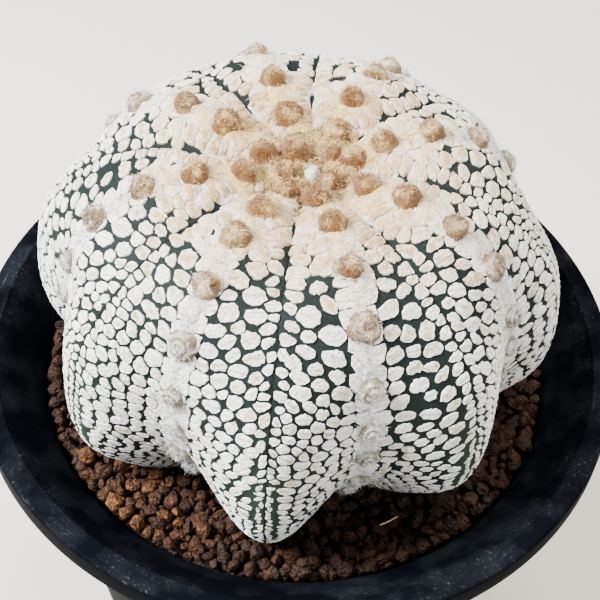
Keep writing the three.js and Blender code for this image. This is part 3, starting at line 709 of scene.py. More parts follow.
# The flecks that line a furrow, by station: half length, half width, pitch along the furrow,
# distance of their middles from it, and the band they keep clear of other flecks
LINING_STATIONS = [1.0, 1.5, 2.0, 2.6, 3.4, 5.0, 6.2, 9.2]
LINING_LONG = [1.35, 2.3, 2.7, 2.1, 1.5, 1.25, 0.98, 0.85]
LINING_WIDE = [1.2, 1.3, 1.4, 1.3, 1.0, 0.75, 0.4, 0.29]
LINING_PITCH = [1.7, 1.9, 2.1, 2.4, 2.3, 1.9, 1.5, 1.15]
LINING_INSET = [1.5, 2.5, 2.8, 2.1, 1.4, 1.1, 0.85, 0.75]
LINING_BAND = [2.7, 3.7, 3.7, 2.4, 1.3, 1.05, 0.95, 0.9]


def lining(sizes, station):
    """One of the lining flecks' sizes at a station."""
    return np.interp(station, LINING_STATIONS, sizes)


def fleck_spacing(row_gap, station):
    """Distance between the middles of neighbouring flecks."""
    side = 3.95 - 0.75 * ease(3, 5, station) - 1.45 * ease(5.2, 8.8, station)
    by_row = 0.5 * (1 - ease(3, 7, row_gap)) * (1 - ease(6, 8, station))
    return side + by_row


def keep_off_furrow(station, spacing):
    """How far from the furrow the middle of a fleck stays that doesn't line it."""
    return 0.42 * spacing + lining(LINING_BAND, station)


def long_way(side, station):
    """Which way a fleck is longest, across and down: from the furrow out, sloping down."""
    return np.arctan2(0.5 * ease(2.6, 3.6, station), side)


def usual_stretch(station):
    """How much longer than round a fleck usually is."""
    return 0.21 + 0.18 * ease(4, 8, station)


def settle_flecks(rib_from, rib_to, chance):
    """Fleck places on one half rib, from the row to the furrow, settled evenly apart."""
    toward = np.sign(rib_to - rib_from)
    lining_station = []
    station = FLECK_TOP + chance.uniform(0, 0.15)
    while station < FLECK_BOTTOM:
        lining_station.append(station)
        _, _, down, _ = skin_frame(np.array([rib_to]), np.array([station]))
        pitch = lining(LINING_PITCH, station) * chance.uniform(0.7, 1.3)
        station += pitch / np.linalg.norm(down)
    lining_station = np.array(lining_station)
    lined = len(lining_station)
    _, per_rib, _, _ = skin_frame(np.full(lined, rib_to - 0.03 * toward), lining_station)
    inset = lining(LINING_INSET, lining_station) * chance.uniform(0.6, 1.5, lined)
    lining_rib = rib_to - toward * inset / np.linalg.norm(per_rib, axis=-1)
    tries_station = chance.uniform(FLECK_TOP, FLECK_BOTTOM, FLECK_TRIES)
    tries_rib = rib_from + (rib_to - rib_from) * chance.uniform(0, 1, FLECK_TRIES)
    _, per_rib, down, _ = skin_frame(tries_rib, tries_station)
    patch = np.linalg.norm(np.cross(per_rib, down), axis=-1)
    patch *= abs(rib_to - rib_from) * (FLECK_BOTTOM - FLECK_TOP) / FLECK_TRIES
    row_gap = np.abs(tries_rib - rib_from) * np.linalg.norm(per_rib, axis=-1)
    furrow_gap = np.abs(tries_rib - rib_to) * np.linalg.norm(per_rib, axis=-1)
    spacing = fleck_spacing(row_gap, tries_station)
    density = patch / (spacing ** 2 * 0.675) * (row_gap > BAND_EDGE) * (
        furrow_gap > keep_off_furrow(tries_station, spacing) - 0.25 * spacing)
    count = int(density.sum())
    picked = chance.choice(FLECK_TRIES, count, replace=False, p=density / density.sum())
    rib = np.concatenate([lining_rib, tries_rib[picked]])
    station = np.concatenate([lining_station, tries_station[picked]])
    free = np.arange(len(rib)) >= lined
    own = np.exp(chance.normal(0, 0.15, len(rib))).clip(0.75, 1.3)
    vary = (own[:, None] + own[None]) / 2
    for _ in range(SETTLING_STEPS):
        spot, per_rib, down, _ = skin_frame(rib, station)
        rib_length = np.linalg.norm(per_rib, axis=-1)
        down_length = np.linalg.norm(down, axis=-1)
        spacing = fleck_spacing(np.abs(rib - rib_from) * rib_length, station)
        offset = spot[:, None, :] - spot[None]
        # Measured so that they end up further apart lengthways
        lean = long_way(-toward, station)[:, None]
        across, along = per_rib / rib_length[:, None], down / down_length[:, None]
        longest = across * np.cos(lean) + along * np.sin(lean)
        lengthways = (offset * longest[:, None]).sum(-1)
        sideways = np.sqrt(((offset ** 2).sum(-1) - lengthways ** 2).clip(0))
        stretch = usual_stretch(station)[:, None]
        distance = np.hypot(lengthways / (1 + stretch), sideways / (1 - stretch))
        distance = distance + np.eye(len(rib)) * 99
        want = (spacing[:, None] + spacing[None]) / 2 * 1.03 * vary
        # Closer to the flecks that line the furrow, except low down
        closer = 0.8 + 0.15 * ease(5, 6.5, station)[:, None]
        want = want * np.where(free[:, None] & free[None], 1, closer)
        push = np.maximum(want - distance, 0) / distance
        move = (offset * push[..., None]).sum(1) * 0.25
        move_rib = (move * per_rib).sum(-1) / rib_length ** 2
        move_down = (move * down).sum(-1) / down_length ** 2
        rib = rib + np.where(free, move_rib, 0)
        station = station + np.where(free, move_down, 0)
        # Neither onto the band of wool nor over the flecks that line the furrow
        low = BAND_EDGE / rib_length
        high = np.abs(rib_to - rib_from) - keep_off_furrow(station, spacing) / rib_length
        walked = np.clip((rib - rib_from) * toward, np.minimum(low, high), high)
        rib = np.where(free, rib_from + toward * walked, rib)
        station = np.clip(station, FLECK_TOP, FLECK_BOTTOM)
    return rib, station, ~free, own


def gaps(rib, per_rib):
    """Distances over the skin to the nearest row of areoles and to the nearest furrow."""
    length = np.linalg.norm(per_rib, axis=-1)
    return np.abs(rib - np.round(rib)) * length, np.abs(np.mod(rib, 1) - 0.5) * length


def flat_directions(per_rib, out):
    """Directions of length 1 in the skin: across to the next rib, and down along the rib."""
    across = unit(per_rib)
    return across, np.cross(across, out)


def oval(long, wide, turn):
    """Radius of an oval at an angle from its long side."""
    return long * wide / np.hypot(wide * np.cos(turn), long * np.sin(turn))


def fleck_outlines(rib, station, lines_furrow, own, chance):
    """Radius of each fleck in every direction: a ragged oval that leaves its neighbours room."""
    spot, per_rib, _, out = skin_frame(rib, station)
    across, along = flat_directions(per_rib, out)
    row_gap, furrow_gap = gaps(rib, per_rib)
    count = len(rib)
    # 1 beside the rows of areoles and on the crown, where the flecks merge
    by_row = 1 - ease(1.2, 3.6 - 1.6 * ease(5, 8, station), row_gap)
    by_crown = 1 - ease(2.1, 3.0, station)
    merging = np.maximum(by_row, by_crown)
    low = ease(6, 8, station)
    gap = (0.28 + 0.1 * lumps(spot, 9, 18) + 0.06 * low) * (1 - merging)
    gap = gap + 0.05 * by_row * (1 - by_crown) - 0.25 * by_crown
    spacing = fleck_spacing(row_gap, station)
    size = spacing * (0.412 + 0.2 * merging - 0.045 * ease(5.2, 7.6, station)) * own
    stretch = (usual_stretch(station) + chance.uniform(-0.14, 0.14, count)) * (1 - 0.4 * by_row)
    long = np.where(lines_furrow, lining(LINING_LONG, station) * own, size * (1 + stretch))
    wide = np.where(lines_furrow, lining(LINING_WIDE, station) * own, size * (1 - stretch))
    wide = wide * (1 + 0.15 * by_crown)
    # From the furrow out to the row they slope down, except on the crown
    side = np.sign(np.mod(rib, 1) - 0.5)
    lean = long_way(side, station) + chance.normal(0, 0.3, count) * (1 - 0.6 * by_crown)
    # The slivers beside the foot of a furrow slope down from it like a feather's barbs
    sliver = lines_furrow * ease(4.6, 6.4, station)
    lean = lean + side * sliver * chance.normal(0.5, 0.3, count)
    angles = np.arange(FLECK_POINTS) * 2 * math.pi / FLECK_POINTS
    shape = oval(long[:, None], wide[:, None], angles - lean[:, None])
    ragged = 1.3 - 0.5 * np.maximum(sliver, lines_furrow * by_crown)
    edge = np.where(chance.uniform(0, 1, count) < 0.25, -0.7, FURROW_EDGE * (1 - 2 * by_crown))
    # Low down they are pointed like small leaves
    pointed = np.maximum(0.1 * low, 0.22 * sliver)[:, None]
    shape = shape * (1 + pointed * np.cos(4 * (angles - lean[:, None])))
    frill = np.ones(shape.shape)
    for wave, depth in FRILLS:
        start = chance.uniform(0, 2 * math.pi, count)[:, None]
        strength = (chance.uniform(0.2, 1, count) * ragged)[:, None] * depth
        frill = frill * (1 + strength * np.cos(wave * angles - start))
    shape = shape * frill
    radius = np.empty((count, FLECK_POINTS))
    for i in range(count):
        offset = spot - spot[i]
        distance = np.linalg.norm(offset, axis=-1)
        near = np.flatnonzero((distance < 8) & (distance > 0))
        sideways = offset[near] @ across[i]
        downward = offset[near] @ along[i]
        turn = np.arctan2(downward, sideways)
        own_reach = oval(long[i], wide[i], turn - lean[i])
        share = own_reach / (own_reach + oval(long[near], wide[near], turn - lean[near]))
        # About one pair of neighbours in five has grown together
        joined = np.sin(37.7 * (rib[i] + rib[near]) + 11.3 * (station[i] + station[near])) > 0.8
        room = np.minimum(gap[i], gap[near])
        room = np.where(joined & (distance[near] < 1.15 * spacing[i]), -0.4, room)
        limit = distance[near] * share - room / 2
        facing = np.cos(angles[None] - turn[:, None])
        cell = np.where(facing > 0.08, limit[:, None] / np.maximum(facing, 0.08), 99).min(0)
        # The furrow is a limit too, and a few flecks grow across it
        facing = np.cos(angles) * -side[i]
        wall = (furrow_gap[i] - edge[i]) / np.maximum(facing, 0.05)
        cell = np.minimum(cell, np.where(facing > 0.05, wall, 99))
        # Its frilly edge shows even where a neighbour limits it
        cell = cell.clip(0.22) * (0.5 + 0.5 * frill[i])
        radius[i] = (cell ** -9 + shape[i] ** -9) ** (-1 / 9)
    return radius, angles, spot, across, along, by_row, by_crown, lean


def laid_on_skin(rib, station, sideways, downward, lift, across, along, per_rib, down):
    """Points beside a place on the skin, following its curve, lifted off it."""
    step = sideways[..., None] * across + downward[..., None] * along
    a = (per_rib * per_rib).sum(-1)
    b = (per_rib * down).sum(-1)
    c = (down * down).sum(-1)
    first = (step * per_rib).sum(-1)
    second = (step * down).sum(-1)
    whole = a * c - b * b
    move_rib = (c * first - b * second) / whole
    move_station = (a * second - b * first) / whole
    point, _, _, out = skin_frame(rib + move_rib, station + move_station)
    return point + out * lift[..., None]


chance = np.random.default_rng(12)
halves = []
for row in range(RIBS):
    halves.append(settle_flecks(row, row + 0.5, chance))
    halves.append(settle_flecks(row + 1, row + 0.5, chance))
fleck_rib, fleck_station, lines_furrow, fleck_own = (
    np.concatenate([half[i] for half in halves]) for i in range(4))
radius, angles, fleck_spot, across, along, by_row, by_crown, lean = fleck_outlines(
    fleck_rib, fleck_station, lines_furrow, fleck_own, chance)
_, per_rib, down, _ = skin_frame(fleck_rib, fleck_station)
fleck_count = len(fleck_rib)
fold = by_crown * (1 - 0.5 * by_row)
low = ease(6, 8, fleck_station)
# Flatter down the ribs, and the ones beside a furrow flatter still
tall = 1 - 0.25 * ease(2.8, 4, fleck_station) - 0.45 * ease(4.6, 7.6, fleck_station)
tall = tall * (1 - 0.15 * lines_furrow * ease(2.6, 3, fleck_station))
# Creamier along the middle, and some flecks creamy all over
fleck_tone = chance.normal(0.05, 0.12, fleck_count)
fleck_tone = fleck_tone + 0.45 * (chance.uniform(0, 1, fleck_count) > 0.92)
fleck_tone = fleck_tone * (1 - by_row)
streak = np.cos(angles - lean[:, None]) ** 2
creaminess = chance.uniform(0.3, 1.5, fleck_count) * (1 - 0.8 * low) * (1 - 0.6 * by_row)
rings = []
ring_cream_and_shade = []
ring_comb = []
comb_start = chance.uniform(0, 400, fleck_count)
flecks_on_skin = [v[:, None] for v in (fleck_rib, fleck_station, across, along, per_rib, down)]


def laid_on_flecks(sideways, downward, height):
    """Points beside the middle of every fleck, at a height above the skin."""
    rib, station, *directions = flecks_on_skin
    return laid_on_skin(rib, station, sideways, downward, height, *directions)


for scale, flat_height, fold_height in FLECK_RINGS:
    sideways = radius * scale * np.cos(angles)
    downward = radius * scale * np.sin(angles)
    height = (flat_height * (1 - fold) + fold_height * fold) * tall
    height = np.repeat(height[:, None], FLECK_POINTS, 1)
    height = height - 0.3 * (1 - scale) * streak * (1 - fold)[:, None]
    level = laid_on_flecks(sideways, downward, np.zeros(radius.shape))
    relief = 0.12 * lumps(level, 0.8, 16) + 0.08 * lumps(level, 0.45, 17)
    relief = relief * (0.5 + 0.5 * tall[:, None])
    height = height + relief * (flat_height > 0)
    rings.append(laid_on_flecks(sideways, downward, height))
    cream_and_shade = 2.1 * (1 - scale) * streak * creaminess[:, None] + fleck_tone[:, None]
    # On the crown the folds are painted tan where they meet, as painted shade between them
    ring_cream_and_shade.append(cream_and_shade + (1.1 * by_crown * (scale > 0.95))[:, None])
    ring_comb.append(radius * scale * np.sin(angles - lean[:, None]) + comb_start[:, None])
middle_height = (FLECK_MIDDLE[0] * (1 - fold) + FLECK_MIDDLE[1] * fold) * tall
no_step = np.zeros((fleck_count, 1))
middle = laid_on_flecks(no_step, no_step, middle_height[:, None])
fleck_points = np.concatenate(rings + [middle], axis=1)
fleck_cream_and_shade = np.concatenate(ring_cream_and_shade + [(creaminess + fleck_tone)[:, None]], axis=1)
fleck_comb = np.concatenate(ring_comb + [comb_start[:, None]], axis=1)
one_fleck = []
for a, b, c, d in lattice_faces(len(FLECK_RINGS), FLECK_POINTS):
    one_fleck += [(c, b, a), (d, c, a)]
fleck_middle = len(FLECK_RINGS) * FLECK_POINTS
one_fleck += cap_faces(fleck_middle, fleck_middle - FLECK_POINTS, FLECK_POINTS)
one_fleck = np.array(one_fleck)

# Felted white plant hair: dead matt, chalk white at the rim of each fleck, cream and a little
# sunken in its middle, with a fine felted surface. Towards the crown it turns creamier, and
# where its folds meet there they are painted tan as painted shade. Its pits and the lines
# between its combed strands are painted darker as painted shade.
white_felt, shader = start_material("felted_white_plant_hair")
place = add_node(white_felt, "ShaderNodeTexCoord").outputs["Object"]
cream_and_shade_value = add_node(white_felt, "ShaderNodeAttribute", {"attribute_name": "cream_and_shade"})
crown_value = add_node(white_felt, "ShaderNodeAttribute", {"attribute_name": "crown"})
blotch = add_node(white_felt, "ShaderNodeTexNoise", {"Scale": 1 / 0.0011, "Detail": 3},
                  {"Vector": place})
blotch_range = add_node(white_felt, "ShaderNodeMapRange",
                        {"From Min": 0.35, "From Max": 0.65, "To Min": 0.15},
                        {"Value": blotch.outputs["Fac"]})
cream_and_shade_share = add_node(white_felt, "ShaderNodeMath", {"operation": "MULTIPLY"},
                       {0: cream_and_shade_value.outputs["Fac"], 1: blotch_range.outputs[0]})
white_cream = add_node(white_felt, "ShaderNodeMix",
                       {"data_type": "RGBA", 6: linear("#fcfdfd"), 7: linear("#b3a780")},
                       {0: cream_and_shade_share.outputs[0]})
tan_part = add_node(white_felt, "ShaderNodeMath",
                    {"operation": "MULTIPLY_ADD", 1: 0.5, 2: 0.68},
                    {0: cream_and_shade_share.outputs[0]})
tan_and_shade_share = add_node(white_felt, "ShaderNodeMath",
                     {"operation": "MULTIPLY", "use_clamp": True},
                     {0: tan_part.outputs[0], 1: crown_value.outputs["Fac"]})
felt_colour = add_node(white_felt, "ShaderNodeMix", {"data_type": "RGBA", 7: linear("#a9823f")},
                       {0: tan_and_shade_share.outputs[0], 6: white_cream.outputs[2]})
# Small pits between the hairs, painted darker as painted shade, drawn 0.4 mm apart so that they
# show
pits = add_node(white_felt, "ShaderNodeTexNoise", {"Scale": 1 / 0.0004, "Detail": 2},
                {"Vector": place})
pit_mask = add_node(white_felt, "ShaderNodeMapRange",
                    {"From Min": 0.48, "From Max": 0.72, "To Max": 0.5},
                    {"Value": pits.outputs["Fac"]})
# The hairs are combed the long way of each fleck, in strands drawn 0.45 mm apart, with painted
# shade in fine darker lines between the strands
comb_value = add_node(white_felt, "ShaderNodeAttribute", {"attribute_name": "comb"})
comb = add_node(white_felt, "ShaderNodeTexNoise",
                {"noise_dimensions": "1D", "Scale": 1 / 0.45, "Detail": 2},
                {"W": comb_value.outputs["Fac"]})
comb_mask = add_node(white_felt, "ShaderNodeMapRange",
                     {"From Min": 0.46, "From Max": 0.68, "To Max": 0.62},
                     {"Value": comb.outputs["Fac"]})
shaded = add_node(white_felt, "ShaderNodeMath", {"operation": "MAXIMUM"},
                  {0: pit_mask.outputs[0], 1: comb_mask.outputs[0]})
pit_and_comb_painted_shade = add_node(white_felt, "ShaderNodeMix", {"data_type": "RGBA", 7: linear("#8f8771")},
                  {0: shaded.outputs[0], 6: felt_colour.outputs[2]})
felt = add_node(white_felt, "ShaderNodeTexNoise", {"Scale": 1 / 0.0005, "Detail": 4},
                {"Vector": place})
comb_bump = add_node(white_felt, "ShaderNodeBump", {"Strength": 0.6, "Distance": 0.0003},
                     {"Height": comb.outputs["Fac"]})
felt_bump = add_node(white_felt, "ShaderNodeBump", {"Strength": 1.0, "Distance": 0.0006},
                     {"Height": felt.outputs["Fac"], "Normal": comb_bump.outputs[0]})
set_up(white_felt, shader,
       {"Roughness": 0.95, "Specular IOR Level": 0.2, "Sheen Weight": 0.2},
       {"Base Color": pit_and_comb_painted_shade.outputs[2], "Normal": felt_bump.outputs[0]})

in_front = fleck_spot[:, 1] < PLANT_Y
on_left = fleck_spot[:, 0] < PLANT_X
for name, chosen in (("flecks_front_left", in_front & on_left),
                     ("flecks_front_right", in_front & ~on_left),
                     ("flecks_back_left", ~in_front & on_left),
                     ("flecks_back_right", ~in_front & ~on_left)):
    points = fleck_points[chosen]
    faces = one_fleck[None] + np.arange(len(points))[:, None, None] * points.shape[1]
    tip_gap = np.linalg.norm(points[..., :2] - [PLANT_X + CROWN_SHIFT, PLANT_Y], axis=-1)
    flecks = make_piece(name, points.reshape(-1, 3), faces.reshape(-1, 3).tolist(), white_felt,
                        {"cream_and_shade": fleck_cream_and_shade[chosen].ravel(),
                         "comb": fleck_comb[chosen].ravel(),
                         "crown": (1 - ease(14, 52, tip_gap)).ravel()})
    flecks.data.set_sharp_from_angle(angle=math.radians(40))
    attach(flecks, "root")


# The wool along the rows. A thin veil of loose white hair that joins one areole to the next
# down each row and blends into the flecks on both sides. It has grown from the areoles.
VEIL_COLUMNS = 15
VEIL_STEP = 0.55
# It starts this far in mm from the growing tip and ends at this station, in the soil
VEIL_START = 9
VEIL_END_STATION = 9.25
VEIL_HAIRS = 4500
walk_stations = np.arange(0, 12, 0.01)
walk = outline_at(ROW_OUTLINE, walk_stations)
walked = np.concatenate([[0], np.cumsum(np.linalg.norm(np.diff(walk, axis=0), axis=1))])


def station_at(distance):
    """The station at a distance in mm from the growing tip, along a row."""
    return np.interp(distance, walked, walk_stations)


# Plant wool: loose matted hair, dead matt with a faint sheen from its loose ends. Cream on the
# crown and on young areoles and off-white lower down. Down between the tufts and round the feet
# of the buttons it is painted tan as painted shade, and on the buttons' tops paler as painted
# light.
plant_wool, shader = start_material("matted_plant_wool")
place = add_node(plant_wool, "ShaderNodeTexCoord").outputs["Object"]
tan_and_shade_value = add_node(plant_wool, "ShaderNodeAttribute", {"attribute_name": "tan_and_shade"})
age_value = add_node(plant_wool, "ShaderNodeAttribute", {"attribute_name": "age"})
tuft = add_node(plant_wool, "ShaderNodeTexNoise", {"Scale": 1 / 0.0016, "Detail": 3},
                {"Vector": place})
# Matted strands, drawn nearly a millimetre apart
strands = add_node(plant_wool, "ShaderNodeTexNoise",
                   {"Scale": 1 / 0.0009, "Detail": 5, "Distortion": 3.5}, {"Vector": place})
tuft_strands = add_node(plant_wool, "ShaderNodeMath", {"operation": "MULTIPLY_ADD", 1: 1.8},
                        {0: strands.outputs["Fac"], 2: tan_and_shade_value.outputs["Fac"]})
tuft_tan = add_node(plant_wool, "ShaderNodeMath", {"operation": "MULTIPLY_ADD", 1: 1.2},
                    {0: tuft.outputs["Fac"], 2: tuft_strands.outputs[0]})
tan_and_shade_share = add_node(plant_wool, "ShaderNodeMapRange",
                     {"From Min": 1.55, "From Max": 2.3},
                     {"Value": tuft_tan.outputs[0]})
pale = add_node(plant_wool, "ShaderNodeMix",
                {"data_type": "RGBA", 6: linear("#eac37f"), 7: linear("#f2f3f1")},
                {0: age_value.outputs["Fac"]})
tanned = add_node(plant_wool, "ShaderNodeMix",
                  {"data_type": "RGBA", 6: linear("#774803"), 7: linear("#877a5e")},
                  {0: age_value.outputs["Fac"]})
wool_colour = add_node(plant_wool, "ShaderNodeMix", {"data_type": "RGBA"},
                       {0: tan_and_shade_share.outputs[0], 6: pale.outputs[2], 7: tanned.outputs[2]})
mat = add_node(plant_wool, "ShaderNodeTexNoise",
               {"Scale": 1 / 0.0005, "Detail": 4, "Distortion": 2}, {"Vector": place})
strand_bump = add_node(plant_wool, "ShaderNodeBump", {"Strength": 1.0, "Distance": 0.001},
                       {"Height": strands.outputs["Fac"]})
mat_bump = add_node(plant_wool, "ShaderNodeBump", {"Strength": 0.8, "Distance": 0.0005},
                    {"Height": mat.outputs["Fac"], "Normal": strand_bump.outputs[0]})
set_up(plant_wool, shader, {"Roughness": 1, "Specular IOR Level": 0.1, "Sheen Weight": 0.3},
       {"Base Color": wool_colour.outputs[2], "Normal": mat_bump.outputs[0]})


def fibres(roots, headings, ups, lengths, curl, width, pieces, chance):
    """Loose hairs as narrow ribbons that curl as they go and end in a point."""
    count = len(roots)
    heading = unit(headings)
    spots = [roots]
    phase = chance.uniform(0, 2 * math.pi, count)
    turning = chance.choice([-1, 1], count) * chance.uniform(0.6, 1.6, count)
    for step in range(pieces):
        side = unit(np.cross(heading, ups))
        lift = np.cross(side, heading)
        bend = phase + turning * step
        heading = unit(heading + curl * (side * np.cos(bend)[:, None]
                                         + lift * 0.6 * np.sin(bend)[:, None]))
        spots.append(spots[-1] + heading * (lengths / pieces)[:, None])
    points = []
    for step, spot in enumerate(spots[:-1]):
        side = unit(np.cross(spots[step + 1] - spot, ups) + 1e-9)
        half = width * 0.5 * (1 - 0.5 * step / pieces)
        points += [spot - side * half, spot + side * half]
    points.append(spots[-1])
    points = np.stack(points, axis=1)
    faces = [(2 * i, 2 * i + 1, 2 * i + 3, 2 * i + 2) for i in range(pieces - 1)]
    tri = [(2 * pieces - 2, 2 * pieces - 1, 2 * pieces)]
    start = np.arange(count)[:, None, None] * points.shape[1]
    quads = (np.array(faces)[None] + start).reshape(-1, 4).tolist()
    tips = (np.array(tri)[None] + start).reshape(-1, 3).tolist()
    return points.reshape(-1, 3), quads + tips, points.shape[1]


def veil_edge(place, seed):
    """Half the width of the veil: its edges wander and bulge between the areoles."""
    return 1.6 + 1.3 * lumps(place, 4.5, seed) + 0.9 * lumps(place, 1.6, seed + 1)


chance = np.random.default_rng(40)
veil_points = []
veil_faces = []
veil_age = []
veil_out = []
across_steps = np.linspace(-1, 1, VEIL_COLUMNS)
for row in range(RIBS):
    veil_end = np.interp(VEIL_END_STATION, walk_stations, walked)
    distances = np.arange(VEIL_START, veil_end, VEIL_STEP)
    stations = station_at(distances)
    waver = np.stack([distances, np.full(len(distances), row * 9.0),
                      np.zeros(len(distances))], -1)
    left = veil_edge(waver, 41)[:, None]
    right = veil_edge(waver + 50, 43)[:, None]
    wide = 1 + 1.1 * (1 - ease(20, 44, distances))
    offset = np.where(across_steps[None] < 0, left, right).clip(0.7)
    offset = offset * across_steps[None] * wide[:, None]
    spot, per_rib, down, out = skin_frame(np.full(len(stations), float(row)), stations)
    side, ahead = flat_directions(per_rib, out)
    lift = (0.3 + 0.2 * (1 - ease(22, 40, distances)))[:, None]
    lift = lift * (1 - across_steps ** 2)[None] + 0.22 - 0.25 * (np.abs(across_steps) > 0.99)
    flat = spot[:, None, :] + side[:, None, :] * offset[..., None]
    lift = lift + 0.3 * lumps(flat, 2.4, 45) + 0.3 * lumps(flat, 1.1, 46)
    laid = laid_on_skin(np.full(offset.shape, float(row)), np.repeat(
        stations[:, None], VEIL_COLUMNS, 1), offset, np.zeros(offset.shape), lift,
        side[:, None], ahead[:, None], per_rib[:, None], down[:, None])
    veil_faces += lattice_faces(len(stations), VEIL_COLUMNS, False,
                                sum(len(p) for p in veil_points))
    veil_points.append(laid.reshape(-1, 3))
    veil_out.append(np.repeat(out, VEIL_COLUMNS, 0))
    veil_age.append(np.repeat(ease(14, 44, distances), VEIL_COLUMNS))
veil_points = np.concatenate(veil_points)
veil_age = np.concatenate(veil_age)
veil = make_piece("row_wool", veil_points, veil_faces, plant_wool,
                  {"tan_and_shade": -0.5 + 0.4 * (1 - veil_age), "age": veil_age})
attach(veil, "root")
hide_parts("areole_wool")
# The loose hairs of the rows are drawn 0.15 mm thick, several real hairs to one
picked = chance.integers(0, len(veil_points), VEIL_HAIRS)
veil_out = np.concatenate(veil_out)[picked]
points, faces, each = fibres(
    veil_points[picked] + veil_out * 0.08, chance.normal(0, 1, (VEIL_HAIRS, 3)) + veil_out * 0.3,
    veil_out, chance.uniform(0.8, 2.4, VEIL_HAIRS), 0.6, 0.15, 4, chance)
veil_hair = make_piece("row_hairs", points, faces, plant_wool,
                       {"tan_and_shade": np.repeat(chance.normal(0.05, 0.2, VEIL_HAIRS), each),
                        "age": np.repeat(veil_age[picked], each)})
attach(veil_hair, "root")


# The areoles. Round felted buttons of wool, about 5 mm across, one every 7 to 13 mm down each
# row. The young ones near the crown stand up and are tan; old ones are lower, grey and ringed.
# Distance of each button from the growing tip in mm, row by row
AREOLES = [
    [15.8, 23.5, 33.3, 43.9, 54.7, 62.3, 72.1, 82.4],
    [17.8, 27.3, 37.5, 48.5, 57.5, 65.0, 75.8, 85.5],
    [12.6, 20.9, 30.5, 40.0, 51.2, 58.9, 68.5, 78.6],
    [8.3, 15.6, 24.6, 34.8, 45.2, 55.5, 65.3, 75.0, 84.5],
    [10.4, 18.6, 28.0, 34.9, 44.8, 55.0, 64.8, 74.5, 84.0],
    [13.2, 21.7, 34.4, 44.6, 54.5, 64.2, 74.0, 83.5],
    [16.7, 25.3, 36.7, 47.0, 57.2, 67.0, 76.5, 86.0],
    [11.8, 20.1, 29.2, 39.2, 50.5, 58.6, 68.4, 78.3],
]
# Young buttons still crowded round the growing tip: x, y and radius in mm
YOUNG_AREOLES = [(-3.5, -7.0, 2.2), (1.8, -9.0, 2.4), (3.9, -4.3, 2.3), (-2.7, 3.3, 2.5),
                 (-8.3, 2.2, 2.4), (-3.4, -2.4, 2.0), (4.6, 3.0, 1.9)]
BUTTON_ROUND = 26
BUTTON_RINGS = 9
HAIRS_EACH = 112


def button(spot, side, ahead, out, radius, rise, age, tan_and_shade, number):
    """One domed button of wool, lumpy, with a few rings pressed in it when it is old."""
    turns = np.arange(BUTTON_ROUND) * 2 * math.pi / BUTTON_ROUND
    shares = np.concatenate([[1.12], np.linspace(1, 0.08, BUTTON_RINGS - 1)])
    reach = radius * shares[:, None] * (1 + 0.06 * np.cos(3 * turns + number)[None])
    height = rise * (1 - shares.clip(0, 1) ** 2.4) ** 0.6 - 0.1
    height[0] = -0.25
    rings = 0.14 * age * np.cos(shares * 16) * (shares < 0.95)
    height = np.repeat((height + rings)[:, None], BUTTON_ROUND, 1)
    points = (spot + side * (reach * np.cos(turns))[..., None]
              + ahead * (reach * np.sin(turns))[..., None] + out * height[..., None])
    rough = 0.2 * lumps(points, 0.9, 60) + 0.1 * lumps(points, 0.45, 61)
    points = points + out * (rough * (shares < 1.05)[:, None])[..., None]
    top = spot + out * (rise - 0.05)
    # Painted tan round its foot as painted shade, and paler on top as painted light; paler on
    # the rings too
    tint = 0.12 - 0.3 * (1 - shares.clip(0, 1)) - 0.45 * age * np.cos(shares * 16)
    tan_and_shade_here = (np.where(shares > 1.05, 1.2, 1) * tan_and_shade + tint)[:, None]
    tan_and_shade_here = tan_and_shade_here + 0.6 * lumps(points, 1.7, 62)
    return (np.concatenate([points.reshape(-1, 3), top[None]]),
            np.append(tan_and_shade_here.ravel(), tan_and_shade))


chance = np.random.default_rng(61)
buttons = []
for row, distances in enumerate(AREOLES):
    for distance in distances:
        station = float(station_at(distance))
        spot, per_rib, _, out = skin_frame(np.array(float(row)), np.array(station))
        side, ahead = flat_directions(per_rib, out)
        young = 1 - ease(16, 60, distance)
        radius = (2.2 + 0.45 * young) * chance.uniform(0.92, 1.08)
        rise = (1.5 + 0.8 * young) * chance.uniform(0.9, 1.1)
        buttons.append((spot + out * 0.45, side, ahead, out, radius, rise, 1 - young,
                        0.4 + 0.36 * young))
# The crown is a shallow bowl round the tip
for x, y, radius in YOUNG_AREOLES:
    spot = np.array([x, y, 151.6 + 0.012 * (x * x + y * y)])
    out = unit(np.array([x * 0.02, y * 0.02, 1.0]))
    side = unit(np.cross([0.0, 1.0, 0.0], out))
    buttons.append((spot, side, np.cross(out, side), out, radius, 2.3, 0.0, 0.85))
button_points, button_faces, button_tan_and_shade, button_age = [], [], [], []
hair_roots, hair_heads, hair_ups, hair_tan_and_shade, hair_age = [], [], [], [], []
for number, (spot, side, ahead, out, radius, rise, age, tan_and_shade) in enumerate(buttons):
    points, tans_and_shades = button(spot, side, ahead, out, radius, rise, age, tan_and_shade, number)
    start = number * len(points)
    flip = np.dot(np.cross(side, ahead), out) > 0
    faces = lattice_faces(BUTTON_RINGS, BUTTON_ROUND, True, start)
    top = start + len(points) - 1
    faces += cap_faces(top, top - BUTTON_ROUND, BUTTON_ROUND, flip=True)
    button_faces += [f[::-1] for f in faces] if flip else faces
    button_points.append(points)
    button_tan_and_shade.append(tans_and_shades)
    button_age.append(np.full(len(points), age))
    picked = chance.integers(BUTTON_ROUND, len(points), HAIRS_EACH)
    roots = points[picked]
    away = roots - spot - out * np.dot(roots - spot, out)[..., None]
    hair_roots.append(roots)
    hair_heads.append(unit(away + 0.02) * 0.9 + out * 0.3
                      + chance.normal(0, 0.35, (HAIRS_EACH, 3)))
    hair_ups.append(np.repeat(out[None], HAIRS_EACH, 0))
    hair_tan_and_shade.append(tans_and_shades[picked])
    hair_age.append(np.full(HAIRS_EACH, age))
